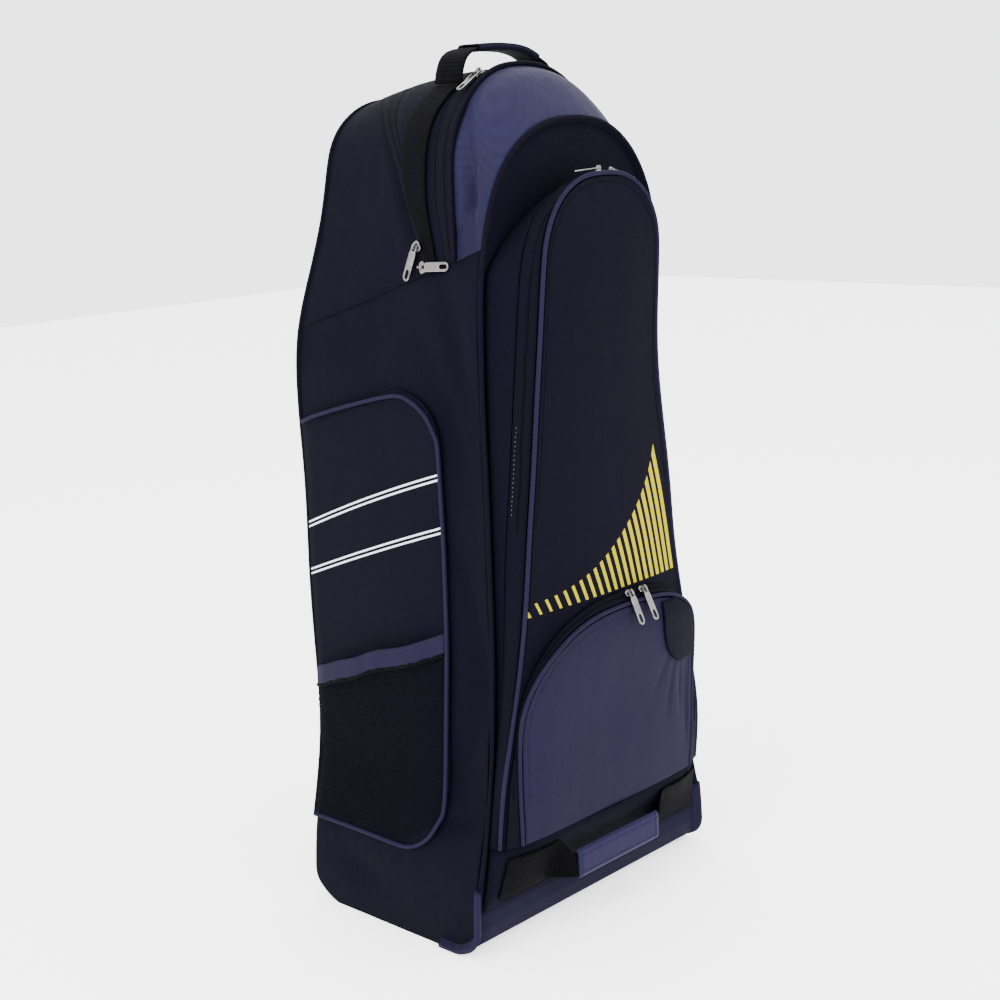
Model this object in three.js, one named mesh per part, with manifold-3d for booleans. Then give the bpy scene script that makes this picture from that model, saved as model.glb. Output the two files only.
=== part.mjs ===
import * as THREE from 'three';
import { mergeVertices } from 'three/addons/utils/BufferGeometryUtils.js';
import Module from 'manifold-3d';

// Cricket kit bag standing upright. Millimetres, +Z up, the front faces -Y, and the origin is
// on the floor under the middle of the body. Cloth pieces are thin solid sheets.

const wasm = await Module();
wasm.setup();

// Body
const baseHalfWidth = 190;
const shoulderHalfWidth = 136;
const shoulderHeight = 680;
const bodyDepth = 255;
const frontCrownHeight = 854;
const ridgeCrownHeight = 907;
const backCrownHeight = 881;
const ridgeDepthShare = 0.245;
const frontSeamHeight = 731;
const backSeamHeight = 643;
const frontCornerRadius = 30;
const backCornerRadius = 36;
const bootFrontHeight = 50;
const bootBackHeight = 95;
const backSag = 14;
const sideBow = 14;
const rearTaper = 0.14;
const frontArchPower = 2.4;
const backArchPower = 2.3;

// Cloth, seams and piping
const cloth = 2;
const seamGap = 0.4;
const layGap = 0.9;
const panelGap = 1.2;
const edgeGap = 0.9;
const edgePipingRadius = 2.6;
const crownPipingRadius = 2.4;
const rimPipingRadius = 2.5;
const sidePipingRadius = 2.3;
const bindingRadius = 3.6;
const bindingTop = 76;

// Big front pocket
const pocketBottom = 118;
const frontPocketShoulder = 700;
const frontPocketCrown = 798;
const frontPocketHalfWidth = 168;
const frontPocketDepth = 44;
const frontPocketPuff = 6;
const gussetShoulder = 700;
const gussetCrown = 785;
const gussetInset = 9;
const frontZipWidth = 19;
const gussetBulge = 3;

// Lower front pocket
const lowerPocketShoulder = 232;
const lowerPocketCrown = 346;
const lowerPocketHalfWidth = 144;
const lowerPocketDepth = 48;
const lowerPocketPuff = 10;
const lowerPocketRoom = 80;
const lowerGussetCrown = 357;
const lowerGussetMargin = 6;
const lowerGussetBulge = 0.3;
const patchHalfWidth = 34;
const patchHeight = 78;

// Side pockets
const sidePocketFront = -72;
const sidePocketBottom = 98;
const sidePocketTop = 588;
const sidePocketDrop = 46;
const sidePocketCorner = 57;
const meshThickness = 1.2;
const meshMouthFront = 335;
const meshMouthBack = 266;
const meshStandOff = 11;
const meshBindingHeight = 21;

// Webbing and handles
const webbingWidth = 38;
const webbing = 2;
const topHandleHeight = 933;
const topHandleLeft = -64;
const topHandleRight = 80;
const topHandleY = -22;
const topGripLength = 92;
const topGripWidth = 34;
const topGripThickness = 9;
const bandStrapWidth = 46;
const bottomGripLength = 138;
const bottomGripHeight = 33;
const bottomGripThickness = 8;
const bottomGripLevel = 73;
const bottomGripLift = 22;

// Zip sliders and pull tabs
const sliderLength = 12;
const sliderWidth = 8.5;
const sliderBase = 3;
const bridgeLength = 6.4;
const bridgeWidth = 2.2;
const bridgeHole = 3;
const bridgeWall = 1.1;
const sliderGap = 0.5;
const lowerSliderSeat = 0.5;
const pullThickness = 1.5;
const pullEyeWidth = 7.6;
const pullEyeLength = 5.4;
const pullBar = 1.5;
const pullLength = 37;
const pullWidth = 9.5;
const pullSlotLength = 10;
const pullSlotWidth = 4.6;

const halfDepth = bodyDepth / 2;
const archStations = 24;

// How much of the base flare is left at each height.
const FLARE = [
  { height: 0, left: 1 },
  { height: 0.074, left: 0.972 },
  { height: 0.132, left: 0.889 },
  { height: 0.191, left: 0.722 },
  { height: 0.25, left: 0.537 },
  { height: 0.324, left: 0.463 },
  { height: 0.406, left: 0.352 },
  { height: 0.56, left: 0.222 },
  { height: 0.712, left: 0.093 },
  { height: 0.862, left: 0.011 },
  { height: 1, left: 0 },
];

// How far the filled bag bows to its left at each height, as shares of the shoulder height and of
// the bow.
const BOW = [
  { height: 0, shift: 0 },
  { height: 0.368, shift: 0 },
  { height: 0.56, shift: 0.29 },
  { height: 0.712, shift: 0.57 },
  { height: 0.862, shift: 1 },
  { height: 1.006, shift: 0.64 },
  { height: 1.103, shift: 0.21 },
  { height: 1.25, shift: 0 },
  { height: 1.4, shift: 0 },
];

// Seams over the crown: how far back each lies, as shares of the body depth, from the crown
// (along 0) down to the slanted side seam (along 1).
const CROWN_SEAMS = [
  { along: 0, crescent: 0.245, frontZip: 0.343, rearZip: 0.735, hood: 0.892 },
  { along: 0.2, crescent: 0.242, frontZip: 0.343, rearZip: 0.7, hood: 0.838 },
  { along: 0.45, crescent: 0.232, frontZip: 0.336, rearZip: 0.605, hood: 0.672 },
  { along: 0.65, crescent: 0.215, frontZip: 0.308, rearZip: 0.475, hood: 0.54 },
  { along: 0.82, crescent: 0.172, frontZip: 0.265, rearZip: 0.365, hood: 0.432 },
  { along: 1, crescent: 0.125, frontZip: 0.186, rearZip: 0.265, hood: 0.296 },
];

// Rim of the big front pocket from its foot to its shoulder.
const FRONT_RIM = [
  { rise: 0, width: 0.99, depth: 0.36 },
  { rise: 0.12, width: 0.955, depth: 0.51 },
  { rise: 0.21, width: 0.893, depth: 0.57 },
  { rise: 0.277, width: 0.842, depth: 0.61 },
  { rise: 0.45, width: 0.732, depth: 0.69 },
  { rise: 0.624, width: 0.649, depth: 0.81 },
  { rise: 0.8, width: 0.571, depth: 0.92 },
  { rise: 1, width: 0.53, depth: 0.985 },
];

// Rim of the lower pocket, from its foot to its crown, as shares of its own depth.
const LOWER_RIM = [
  { rise: 0, width: 0.99, depth: 0.56 },
  { rise: 0.5, width: 1, depth: 0.65 },
  { rise: 0.74, width: 1, depth: 0.79 },
  { rise: 0.89, width: 1, depth: 0.96 },
  { rise: 1, width: 1, depth: 1 },
];

// Soft folds pressed into the side panels: the middle of each as shares of the body depth and
// of the shoulder height, its half length and half width as shares of the body depth, how far
// it leans back in radians, and how deep it is as a share of the side pocket's piping.
const SIDE_FOLDS = [
  { depth: 0.1, height: 0.24, reach: 0.22, spread: 0.12, lean: 0.7, sink: 1.6 },
  { depth: 0.14, height: 0.5, reach: 0.5, spread: 0.13, lean: 0.15, sink: 1.4 },
  { depth: 0.12, height: 0.86, reach: 0.4, spread: 0.13, lean: -0.25, sink: 1.2 },
  { depth: 0.55, height: 0.95, reach: 0.4, spread: 0.17, lean: 0.9, sink: 1.2 },
  { depth: 0.8, height: 0.2, reach: 0.35, spread: 0.2, lean: -0.8, sink: 1.1 },
];

// Webbing straps down the crown sides: centre line and width as shares, from the handle foot
// (along 0) to where the two zips meet (along 1).
const CROWN_STRAP = [
  { along: 0, centre: 0.42, width: 1 },
  { along: 0.3, centre: 0.448, width: 1 },
  { along: 0.68, centre: 0.398, width: 0.85 },
  { along: 0.88, centre: 0.315, width: 0.5 },
  { along: 1, centre: 0.255, width: 0.3 },
];

// Section of the base band seen from above: how far it stands out, from the middle to its ends.
const BAND_REACH = [
  { across: 0, out: 1.2 },
  { across: 0.72, out: 1.02 },
  { across: 0.84, out: 0.82 },
  { across: 0.93, out: 0.62 },
  { across: 1, out: 0.1 },
];

const black = { color: 0x16161f, roughness: 0.9, metalness: 0 };
const grey = { color: 0x5c5d78, roughness: 0.75, metalness: 0 };
const strapBlack = { color: 0x101016, roughness: 0.7, metalness: 0 };
const net = { color: 0x0c0c12, roughness: 0.9, metalness: 0 };
const nickel = { color: 0xc9cbd0, roughness: 0.25, metalness: 1 };

const bag = new THREE.Group();
const lerp = THREE.MathUtils.lerp;
const clamp = THREE.MathUtils.clamp;
const smooth = (x, low, high) => THREE.MathUtils.smoothstep(x, low, high);
const bell = (x) => Math.exp(-x * x);

// Reads a column of a table at a place between its rows, with a smooth curve through them.
function readTable(rows, key, column, at) {
  let index = 0;
  while (index < rows.length - 2 && at > rows[index + 1][key]) {
    index += 1;
  }
  const from = rows[index];
  const to = rows[index + 1];
  const before = rows[Math.max(index - 1, 0)];
  const after = rows[Math.min(index + 2, rows.length - 1)];
  const span = to[key] - from[key];
  const t = clamp((at - from[key]) / span, 0, 1);
  const slopeIn = ((to[column] - before[column]) / (to[key] - before[key])) * span;
  const slopeOut = ((after[column] - from[column]) / (after[key] - from[key])) * span;
  const t2 = t * t;
  const t3 = t2 * t;
  return (2 * t3 - 3 * t2 + 1) * from[column] + (t3 - 2 * t2 + t) * slopeIn
    + (3 * t2 - 2 * t3) * to[column] + (t3 - t2) * slopeOut;
}

// Half the body's width at a height below the shoulders.
function halfWidthAt(z) {
  const left = readTable(FLARE, 'height', 'left', clamp(z / shoulderHeight, 0, 1));
  return shoulderHalfWidth + (baseHalfWidth - shoulderHalfWidth) * left;
}

// Height of the crown at a place along the depth.
function crownAt(y) {
  const share = clamp((y + halfDepth) / bodyDepth, 0, 1);
  if (share < ridgeDepthShare) {
    const climb = Math.sin((share / ridgeDepthShare) * Math.PI / 2);
    return lerp(frontCrownHeight, ridgeCrownHeight, climb);
  }
  const fall = ((share - ridgeDepthShare) / (1 - ridgeDepthShare)) ** 2.2;
  return lerp(ridgeCrownHeight, backCrownHeight, fall);
}

const seamHeightAt = (y) => lerp(frontSeamHeight, backSeamHeight, (y + halfDepth) / bodyDepth);

// A point of the body's arch: turn is 0 at the crown and 90 at the shoulder, and past 90 it
// goes straight down the side.
const dropPerTurn = 3;
const archPowerAt = (y) => lerp(frontArchPower, backArchPower, clamp((y + halfDepth) / bodyDepth, 0, 1));
function archPoint(turn, y, inset) {
  const side = Math.sign(turn) || 1;
  const size = Math.abs(turn);
  if (size <= 90) {
    const angle = THREE.MathUtils.degToRad(size);
    const power = 2 / archPowerAt(y);
    const rise = crownAt(y) - shoulderHeight - inset;
    const x = side * (shoulderHalfWidth - inset) * Math.sin(angle) ** power;
    return new THREE.Vector3(x, y, shoulderHeight + rise * Math.max(Math.cos(angle), 0) ** power);
  }
  const z = shoulderHeight - (size - 90) * dropPerTurn;
  return new THREE.Vector3(side * (halfWidthAt(z) - inset), y, z);
}

// The turn at which the arch reaches a height.
function turnAt(z, y) {
  if (z < shoulderHeight) {
    return 90 + (shoulderHeight - z) / dropPerTurn;
  }
  const share = clamp((z - shoulderHeight) / (crownAt(y) - shoulderHeight), 0, 1);
  return THREE.MathUtils.radToDeg(Math.acos(share ** (archPowerAt(y) / 2)));
}

// The turn at which the arch reaches a distance from the middle.
function turnAcross(x, y) {
  const share = clamp(Math.abs(x) / shoulderHalfWidth, 0, 1);
  return THREE.MathUtils.radToDeg(Math.asin(share ** (archPowerAt(y) / 2)));
}

// Where the rounded lower corners leave the front and the back at a height.
function frontEdgeAt(z) {
  const below = clamp(frontCornerRadius - z, 0, frontCornerRadius);
  return -halfDepth + frontCornerRadius - Math.sqrt(frontCornerRadius ** 2 - below ** 2);
}
function backEdgeAt(z) {
  const below = clamp(backCornerRadius - z, 0, backCornerRadius);
  return halfDepth - backCornerRadius + Math.sqrt(backCornerRadius ** 2 - below ** 2);
}

// The soft settling of the filled bag: it bows to one side, the back sags out, the hood slopes
// in behind the shoulders and the sides take a few folds. It is a smooth field, so neighbouring
// pieces keep their clearances.
function settle(point) {
  const rise = clamp(point.z / shoulderHeight, 0, 1.3);
  const hold = smooth(rise, 0.2, 0.55) * (1 - smooth(rise, 0.86, 1.12));
  const rearShare = clamp((point.y + halfDepth) / bodyDepth, 0, 1.1);
  const sideShare = smooth(Math.abs(point.x), shoulderHalfWidth * 0.6, shoulderHalfWidth);
  let sink = 0;
  for (const fold of SIDE_FOLDS) {
    const back = (point.y + halfDepth) / bodyDepth - fold.depth;
    const up = (point.z - fold.height * shoulderHeight) / bodyDepth;
    const run = up * Math.cos(fold.lean) + back * Math.sin(fold.lean);
    const off = back * Math.cos(fold.lean) - up * Math.sin(fold.lean);
    sink += fold.sink * sidePipingRadius * bell(run / fold.reach) * bell(off / fold.spread);
  }
  const slope = smooth(rise, 0.93, 1.12) * (1 - smooth(rise, 1.15, 1.28));
  point.x *= 1 - rearTaper * slope * rearShare;
  point.x -= Math.sign(point.x) * sink * sideShare;
  point.x -= sideBow * readTable(BOW, 'height', 'shift', point.z / shoulderHeight);
  point.y += backSag * hold * rearShare ** 2;
  return point;
}

function addPiece(name, geometry, look, settles = true) {
  geometry.deleteAttribute('normal');
  geometry.deleteAttribute('uv');
  const merged = mergeVertices(geometry, 1e-4);
  if (settles) {
    const places = merged.attributes.position;
    const point = new THREE.Vector3();
    for (let index = 0; index < places.count; index += 1) {
      settle(point.fromBufferAttribute(places, index));
      places.setXYZ(index, point.x, point.y, point.z);
    }
  }
  merged.computeVertexNormals();
  const mesh = new THREE.Mesh(merged, new THREE.MeshStandardMaterial(look));
  mesh.name = name;
  bag.add(mesh);
  return mesh;
}

// The direction that a surface faces, from its two run directions.
function facing(surface, u, v) {
  const step = 0.002;
  const alongU = surface(Math.min(u + step, 1), v).sub(surface(Math.max(u - step, 0), v));
  const alongV = surface(u, Math.min(v + step, 1)).sub(surface(u, Math.max(v - step, 0)));
  return alongU.cross(alongV).normalize();
}

// A cloth sheet: a thin solid on both sides of a surface given over u and v from 0 to 1.
function sheet(surface, columns, rows, thickness = cloth) {
  const geometry = new THREE.BoxGeometry(1, 1, 1, columns, rows, 1);
  const places = geometry.attributes.position;
  for (let index = 0; index < places.count; index += 1) {
    const u = places.getX(index) + 0.5;
    const v = places.getY(index) + 0.5;
    const offset = facing(surface, u, v).multiplyScalar(places.getZ(index) * thickness);
    const point = surface(u, v).add(offset);
    places.setXYZ(index, point.x, point.y, point.z);
  }
  return geometry;
}

// A path that keeps to its stations, so that a piping bends where the sheets beside it do.
class Stations extends THREE.Curve {
  constructor(points) {
    super();
    this.points = points;
  }

  getPoint(t) {
    const place = clamp(t, 0, 1) * (this.points.length - 1);
    const index = Math.min(Math.floor(place), this.points.length - 2);
    return this.points[index].clone().lerp(this.points[index + 1], place - index);
  }

  getPointAt(t) {
    return this.getPoint(t);
  }

  getTangentAt(t) {
    const step = 0.5 / (this.points.length - 1);
    return this.getPoint(t + step).sub(this.getPoint(t - step)).normalize();
  }
}

// A round cord through its stations.
function piping(points, radius, sides = 6) {
  const section = new THREE.Shape();
  for (let index = 0; index < sides; index += 1) {
    const angle = (index / sides) * 2 * Math.PI;
    const x = radius * Math.cos(angle);
    const y = radius * Math.sin(angle);
    if (index === 0) {
      section.moveTo(x, y);
    } else {
      section.lineTo(x, y);
    }
  }
  section.closePath();
  const path = new Stations(points);
  const steps = points.length - 1;
  return new THREE.ExtrudeGeometry(section, { steps, bevelEnabled: false, extrudePath: path });
}

// Fills the space inside four border curves with a smooth surface.
function filled(bottom, top, left, right) {
  const corner = [bottom(0), bottom(1), top(0), top(1)];
  return (u, v) => {
    const point = new THREE.Vector3();
    point.addScaledVector(bottom(u), 1 - v).addScaledVector(top(u), v);
    point.addScaledVector(left(v), 1 - u).addScaledVector(right(v), u);
    point.addScaledVector(corner[0], -(1 - u) * (1 - v)).addScaledVector(corner[1], -u * (1 - v));
    point.addScaledVector(corner[2], -(1 - u) * v).addScaledVector(corner[3], -u * v);
    return point;
  };
}

// An arch-shaped surface at one depth, from a foot height up: its top border spans the crown
// between two equal turns, and each side border runs up the side and round the shoulder.
const crownTurn = 48;
function archSurface(foot, y, inset) {
  const straight = shoulderHeight - foot;
  const shoulderRun = THREE.MathUtils.degToRad(90 - crownTurn) * shoulderHalfWidth;
  const bend = straight / (straight + shoulderRun);
  const sidePoint = (side, v) => {
    const run = 0.75 * v + 0.25 * v * v;
    const climb = run < bend
      ? 90 + (straight * (1 - run / bend)) / dropPerTurn
      : lerp(90, crownTurn, (run - bend) / (1 - bend));
    return archPoint(side * climb, y, inset);
  };
  const footHalf = halfWidthAt(foot) - inset;
  return filled(
    (u) => new THREE.Vector3(lerp(-footHalf, footHalf, u), y, foot),
    (u) => archPoint(lerp(-crownTurn, crownTurn, u), y, inset),
    (v) => sidePoint(-1, v),
    (v) => sidePoint(1, v),
  );
}

// Front and back panels, set inside the edges of the sides and the crown.
const panelInset = cloth + panelGap;
const frontPanelShape = archSurface(bootFrontHeight + seamGap, -halfDepth, panelInset);
const frontPanel = (u, v) => {
  const point = frontPanelShape(u, v);
  point.y = frontEdgeAt(point.z) + cloth / 2;
  return point;
};
addPiece('front_panel', sheet(frontPanel, 8, 16), black);
const backPanelShape = archSurface(bootBackHeight + seamGap, halfDepth, panelInset);
const backPanel = (u, v) => {
  const point = backPanelShape(u, v);
  point.y -= cloth / 2;
  return point;
};
addPiece('back_panel', sheet(backPanel, 8, 14), black);

// The grey boot runs from the front seam under the bag and up to the back seam.
function rimPath(inset) {
  const path = new THREE.Path();
  const start = Math.asin(clamp((frontCornerRadius - bootFrontHeight) / frontCornerRadius, 0, 1));
  const frontRadius = frontCornerRadius - inset;
  const backRadius = backCornerRadius - inset;
  path.moveTo(frontEdgeAt(bootFrontHeight) + inset, bootFrontHeight);
  path.lineTo(-halfDepth + inset, frontCornerRadius);
  path.absarc(-halfDepth + frontCornerRadius, frontCornerRadius, frontRadius,
    Math.PI + start, 1.5 * Math.PI, false);
  path.absarc(halfDepth - backCornerRadius, backCornerRadius, backRadius,
    1.5 * Math.PI, 2 * Math.PI, false);
  path.lineTo(halfDepth - inset, bootBackHeight);
  return path;
}
const bootLine = rimPath(cloth / 2);
const bootSurface = (u, v) => {
  const place = bootLine.getPointAt(v);
  const half = halfWidthAt(place.y) - panelInset;
  return new THREE.Vector3(lerp(-half, half, u), place.x, place.y);
};
addPiece('base_boot', sheet(bootSurface, 4, 18), grey);

// Side panels, each up to the slanted seam.
function sidePlace(side, y, z, lift) {
  return archPoint(side * turnAt(z, y), y, -lift);
}
function sidePanel(side) {
  return (u, v) => {
    const level = 0.4 * v + 0.6 * v * v;
    const straightY = lerp(-halfDepth, halfDepth, u);
    const z = level * (seamHeightAt(straightY) - seamGap / 2);
    const y = lerp(frontEdgeAt(z), backEdgeAt(z), u);
    return sidePlace(side, y, z, -cloth / 2);
  };
}

// Crown pieces between two seams, down to the slanted side seam on both sides.
const depthAt = (share) => -halfDepth + share * bodyDepth;
const seamLine = (column) => (along) => depthAt(readTable(CROWN_SEAMS, 'along', column, along));
function crownPiece(frontLine, rearLine) {
  return (u, v) => {
    const swing = 2 * u - 1;
    const along = Math.abs(swing);
    const y = lerp(frontLine(along) + seamGap / 2, rearLine(along) - seamGap / 2, v);
    const reach = turnAt(seamHeightAt(y) + seamGap / 2, y);
    return archPoint(swing * reach, y, cloth / 2);
  };
}
const crescentLine = seamLine('crescent');
const frontZipLine = seamLine('frontZip');
const rearZipLine = seamLine('rearZip');
const hoodLine = seamLine('hood');
const atFront = () => -halfDepth - seamGap / 2;
const atBack = () => halfDepth + seamGap / 2;
addPiece('crown_panel', sheet(crownPiece(atFront, crescentLine), archStations, 3), grey);
addPiece('main_zip_tape', sheet(crownPiece(crescentLine, frontZipLine), archStations, 1), black);
addPiece('top_strip', sheet(crownPiece(frontZipLine, rearZipLine), archStations, 2), black);
addPiece('rear_zip_tape', sheet(crownPiece(rearZipLine, hoodLine), archStations, 1), black);
addPiece('back_hood', sheet(crownPiece(hoodLine, atBack), archStations, 2), black);

// Piping along the front edge, the back edge and the crescent seam.
function edgeStations(foot, y, outward) {
  const points = [];
  const footTurn = turnAt(foot, y);
  const count = 32;
  for (let index = 0; index <= count; index += 1) {
    const swing = (2 * index) / count - 1;
    const turn = footTurn * (0.6 * swing + 0.4 * swing ** 3);
    const point = archPoint(turn, y, edgePipingRadius * 0.2);
    point.y += outward * (edgePipingRadius + edgeGap);
    points.push(point);
  }
  return points;
}
const frontEdgeFoot = bindingTop + layGap;
const frontEdge = edgeStations(frontEdgeFoot, -halfDepth, -1);
addPiece('piping_front_edge', piping(frontEdge, edgePipingRadius), black);
const backEdge = edgeStations(bootBackHeight, halfDepth, 1);
addPiece('piping_back_edge', piping(backEdge, edgePipingRadius), black);
const crescentStations = [];
for (let index = 0; index <= archStations; index += 1) {
  const swing = (2 * index) / archStations - 1;
  const y = crescentLine(Math.abs(swing));
  const turn = swing * turnAt(seamHeightAt(y), y);
  crescentStations.push(archPoint(turn, y, -crownPipingRadius - layGap));
}
addPiece('piping_crown', piping(crescentStations, crownPipingRadius), black);

// Points of a pocket's border: t runs from -1 at the left foot over 0 at the crown to 1.
const archShare = 0.45;
const rimSteps = 30;
function borderPoint(shape, t) {
  const side = Math.sign(t) || 1;
  const size = Math.abs(t);
  const power = 2 / (side < 0 ? shape.leftPower : shape.rightPower);
  if (size < archShare) {
    const angle = (size / archShare) * Math.PI / 2;
    const z = shape.shoulder + (shape.crown - shape.shoulder) * Math.cos(angle) ** power;
    const x = side * shape.halfWidthAt(shape.shoulder) * Math.sin(angle) ** power;
    return new THREE.Vector3(x, shape.yAt(x, z), z);
  }
  const z = lerp(shape.shoulder, shape.foot, (size - archShare) / (1 - archShare));
  const x = side * shape.halfWidthAt(z);
  return new THREE.Vector3(x, shape.yAt(x, z), z);
}

// Big front pocket: depth and width of its rim, and its softly puffed face.
const pocketFoot = pocketBottom + layGap;
const frontRise = (z) => clamp((z - pocketFoot) / (frontPocketShoulder - pocketFoot), 0, 1);
function frontDepthAt(z) {
  const share = readTable(FRONT_RIM, 'rise', 'depth', frontRise(z));
  const top = smooth(z, frontPocketShoulder, frontPocketCrown);
  return frontPocketDepth * lerp(share, 1, top);
}
function frontHalfAt(z) {
  return frontPocketHalfWidth * readTable(FRONT_RIM, 'rise', 'width', frontRise(z));
}
function frontFaceY(x, z) {
  const across = clamp(Math.abs(x) / frontHalfAt(z), 0, 1);
  const fade = 1 - smooth(z, frontPocketShoulder, frontPocketCrown);
  return -halfDepth - frontDepthAt(z) - frontPocketPuff * (1 - across * across) * fade;
}
const frontRim = {
  foot: pocketFoot,
  shoulder: frontPocketShoulder,
  crown: frontPocketCrown,
  leftPower: 2.5,
  rightPower: 2.5,
  halfWidthAt: frontHalfAt,
  yAt: (x, z) => -halfDepth - frontDepthAt(z),
};
const frontGussetBack = {
  foot: pocketFoot,
  shoulder: gussetShoulder,
  crown: gussetCrown,
  leftPower: 1.5,
  rightPower: 1.5,
  halfWidthAt: (z) => halfWidthAt(z) - gussetInset,
  yAt: () => -halfDepth - cloth / 2 - layGap,
};

// A strip from a back border to beside a rim's piping, between two shares of the way, with a
// soft bulge.
const rimClear = rimPipingRadius + layGap;
function strip(back, rim, from, to, bulge) {
  return (u, v) => {
    const t = 2 * u - 1;
    const start = borderPoint(back, t);
    const end = borderPoint(rim, t);
    const flow = borderPoint(rim, clamp(t + 0.01, -1, 1));
    flow.sub(borderPoint(rim, clamp(t - 0.01, -1, 1))).normalize();
    const aside = start.clone().sub(end);
    aside.addScaledVector(flow, -aside.dot(flow)).normalize();
    end.addScaledVector(aside, rimClear);
    const span = start.distanceTo(end);
    const reach = lerp(from(span), to(span), v);
    const rise = bulge * Math.sin(Math.PI * reach) ** 2;
    return start.lerp(end, reach).addScaledVector(flow.cross(aside), rise);
  };
}
const zipFrom = (span) => Math.max(1 - frontZipWidth / span, 0.4);
const gussetSurface = strip(frontGussetBack, frontRim,
  () => 0, (span) => zipFrom(span) - layGap / span, gussetBulge);
addPiece('front_pocket_gusset', sheet(gussetSurface, rimSteps, 2), black);
const frontZipSurface = strip(frontGussetBack, frontRim, zipFrom, () => 1, gussetBulge);
addPiece('front_pocket_zip', sheet(frontZipSurface, rimSteps, 1), black);

function rimStations(rim) {
  const points = [];
  for (let index = 0; index <= rimSteps; index += 1) {
    points.push(borderPoint(rim, (2 * index) / rimSteps - 1));
  }
  return points;
}
addPiece('piping_front_pocket', piping(rimStations(frontRim), rimPipingRadius), grey);

// A pocket face inside its rim piping.
function faceSurface(rim, faceY) {
  const cut = archShare / 2;
  const shrunk = {
    ...rim,
    crown: rim.crown - rimClear,
    halfWidthAt: (z) => rim.halfWidthAt(z) - rimClear - 0.2,
  };
  const footHalf = shrunk.halfWidthAt(rim.foot);
  const shape = filled(
    (u) => new THREE.Vector3(lerp(-footHalf, footHalf, u), 0, rim.foot),
    (u) => borderPoint(shrunk, lerp(-cut, cut, u)),
    (v) => borderPoint(shrunk, lerp(-1, -cut, v)),
    (v) => borderPoint(shrunk, lerp(1, cut, v)),
  );
  return (u, v) => {
    const point = shape(u, v);
    point.y = faceY(point.x, point.z);
    return point;
  };
}
addPiece('front_pocket_face', sheet(faceSurface(frontRim, frontFaceY), 10, 13), black);

// Lower front pocket, sewn on the face of the big one.
const lowerRise = (z) => clamp((z - pocketFoot) / (lowerPocketCrown - pocketFoot), 0, 1);
const lowerDepthAt = (z) => lowerPocketDepth * readTable(LOWER_RIM, 'rise', 'depth', lowerRise(z));
const lowerHalfAt = (z) => lowerPocketHalfWidth * readTable(LOWER_RIM, 'rise', 'width', lowerRise(z));
const lowerRim = {
  foot: pocketFoot,
  shoulder: lowerPocketShoulder,
  crown: lowerPocketCrown,
  leftPower: 2.2,
  rightPower: 3.4,
  halfWidthAt: lowerHalfAt,
  yAt: (x, z) => -halfDepth - lowerDepthAt(z),
};
const lowerGussetBack = {
  foot: pocketFoot,
  shoulder: lowerPocketShoulder,
  crown: lowerGussetCrown,
  leftPower: 2,
  rightPower: 3.2,
  halfWidthAt: (z) => frontHalfAt(z) - lowerGussetMargin,
  yAt: (x, z) => frontFaceY(x, z) - cloth - layGap - cloth * 0.1,
};
function lowerFaceY(x, z) {
  const across = clamp(Math.abs(x) / lowerHalfAt(z), 0, 1);
  const power = x < 0 ? lowerRim.leftPower : lowerRim.rightPower;
  const top = lerp(lowerRim.shoulder, lowerRim.crown, (1 - across ** power) ** (1 / power));
  const room = clamp((top - z) / lowerPocketRoom, 0, 1);
  const puff = Math.sin(room * Math.PI / 2) * (1 - across ** 4);
  return -halfDepth - lowerDepthAt(z) - lowerPocketPuff * puff * smooth(lowerRise(z), -0.3, 0.3);
}
const lowerZipSurface = strip(lowerGussetBack, lowerRim, () => 0, () => 1, lowerGussetBulge);
addPiece('lower_pocket_zip', sheet(lowerZipSurface, rimSteps, 1), black);
addPiece('piping_lower_pocket', piping(rimStations(lowerRim), rimPipingRadius), grey);
const lowerFace = faceSurface(lowerRim, lowerFaceY);
addPiece('lower_pocket_face', sheet(lowerFace, 10, 8), grey);

// Dark patch at the top right of the lower pocket.
const patchSurface = (u, v) => {
  const z = lowerPocketCrown - rimClear * 3 - patchHeight * (1 - v);
  const arch = clamp((z - lowerRim.shoulder) / (lowerRim.crown - lowerRim.shoulder), 0, 1);
  const outer = lowerHalfAt(z) * (1 - arch ** lowerRim.rightPower) ** (1 / lowerRim.rightPower);
  const right = outer - rimClear * 2;
  const round = Math.sqrt(1 - 0.75 * (1 - v) ** 3);
  const left = lowerHalfAt(z) - rimClear * 2 - 2 * patchHalfWidth * round;
  const x = lerp(left, right, u);
  return new THREE.Vector3(x, lowerFaceY(x, z) - cloth - panelGap, z);
};
addPiece('lower_pocket_patch', sheet(patchSurface, 4, 6), black);

// Black band between the boot and the pockets, and the webbing and handle on it.
const bandHalf = (z) => halfWidthAt(z) - gussetInset;
function bandY(x, z) {
  const level = clamp((z - bootFrontHeight) / (pocketBottom - bootFrontHeight), 0, 1);
  const across = clamp(Math.abs(x) / bandHalf(z), 0, 1);
  const reach = readTable(BAND_REACH, 'across', 'out', across) * LOWER_RIM[0].depth * lowerPocketDepth;
  return -halfDepth - cloth / 2 - layGap - reach * level;
}
const bandColumns = 24;
const bandSurface = (u, v) => {
  const z = lerp(bootFrontHeight + seamGap, pocketBottom, v);
  const x = lerp(-bandHalf(z), bandHalf(z), u);
  return new THREE.Vector3(x, bandY(x, z), z);
};
addPiece('base_band', sheet(bandSurface, bandColumns, 1), black);

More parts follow.
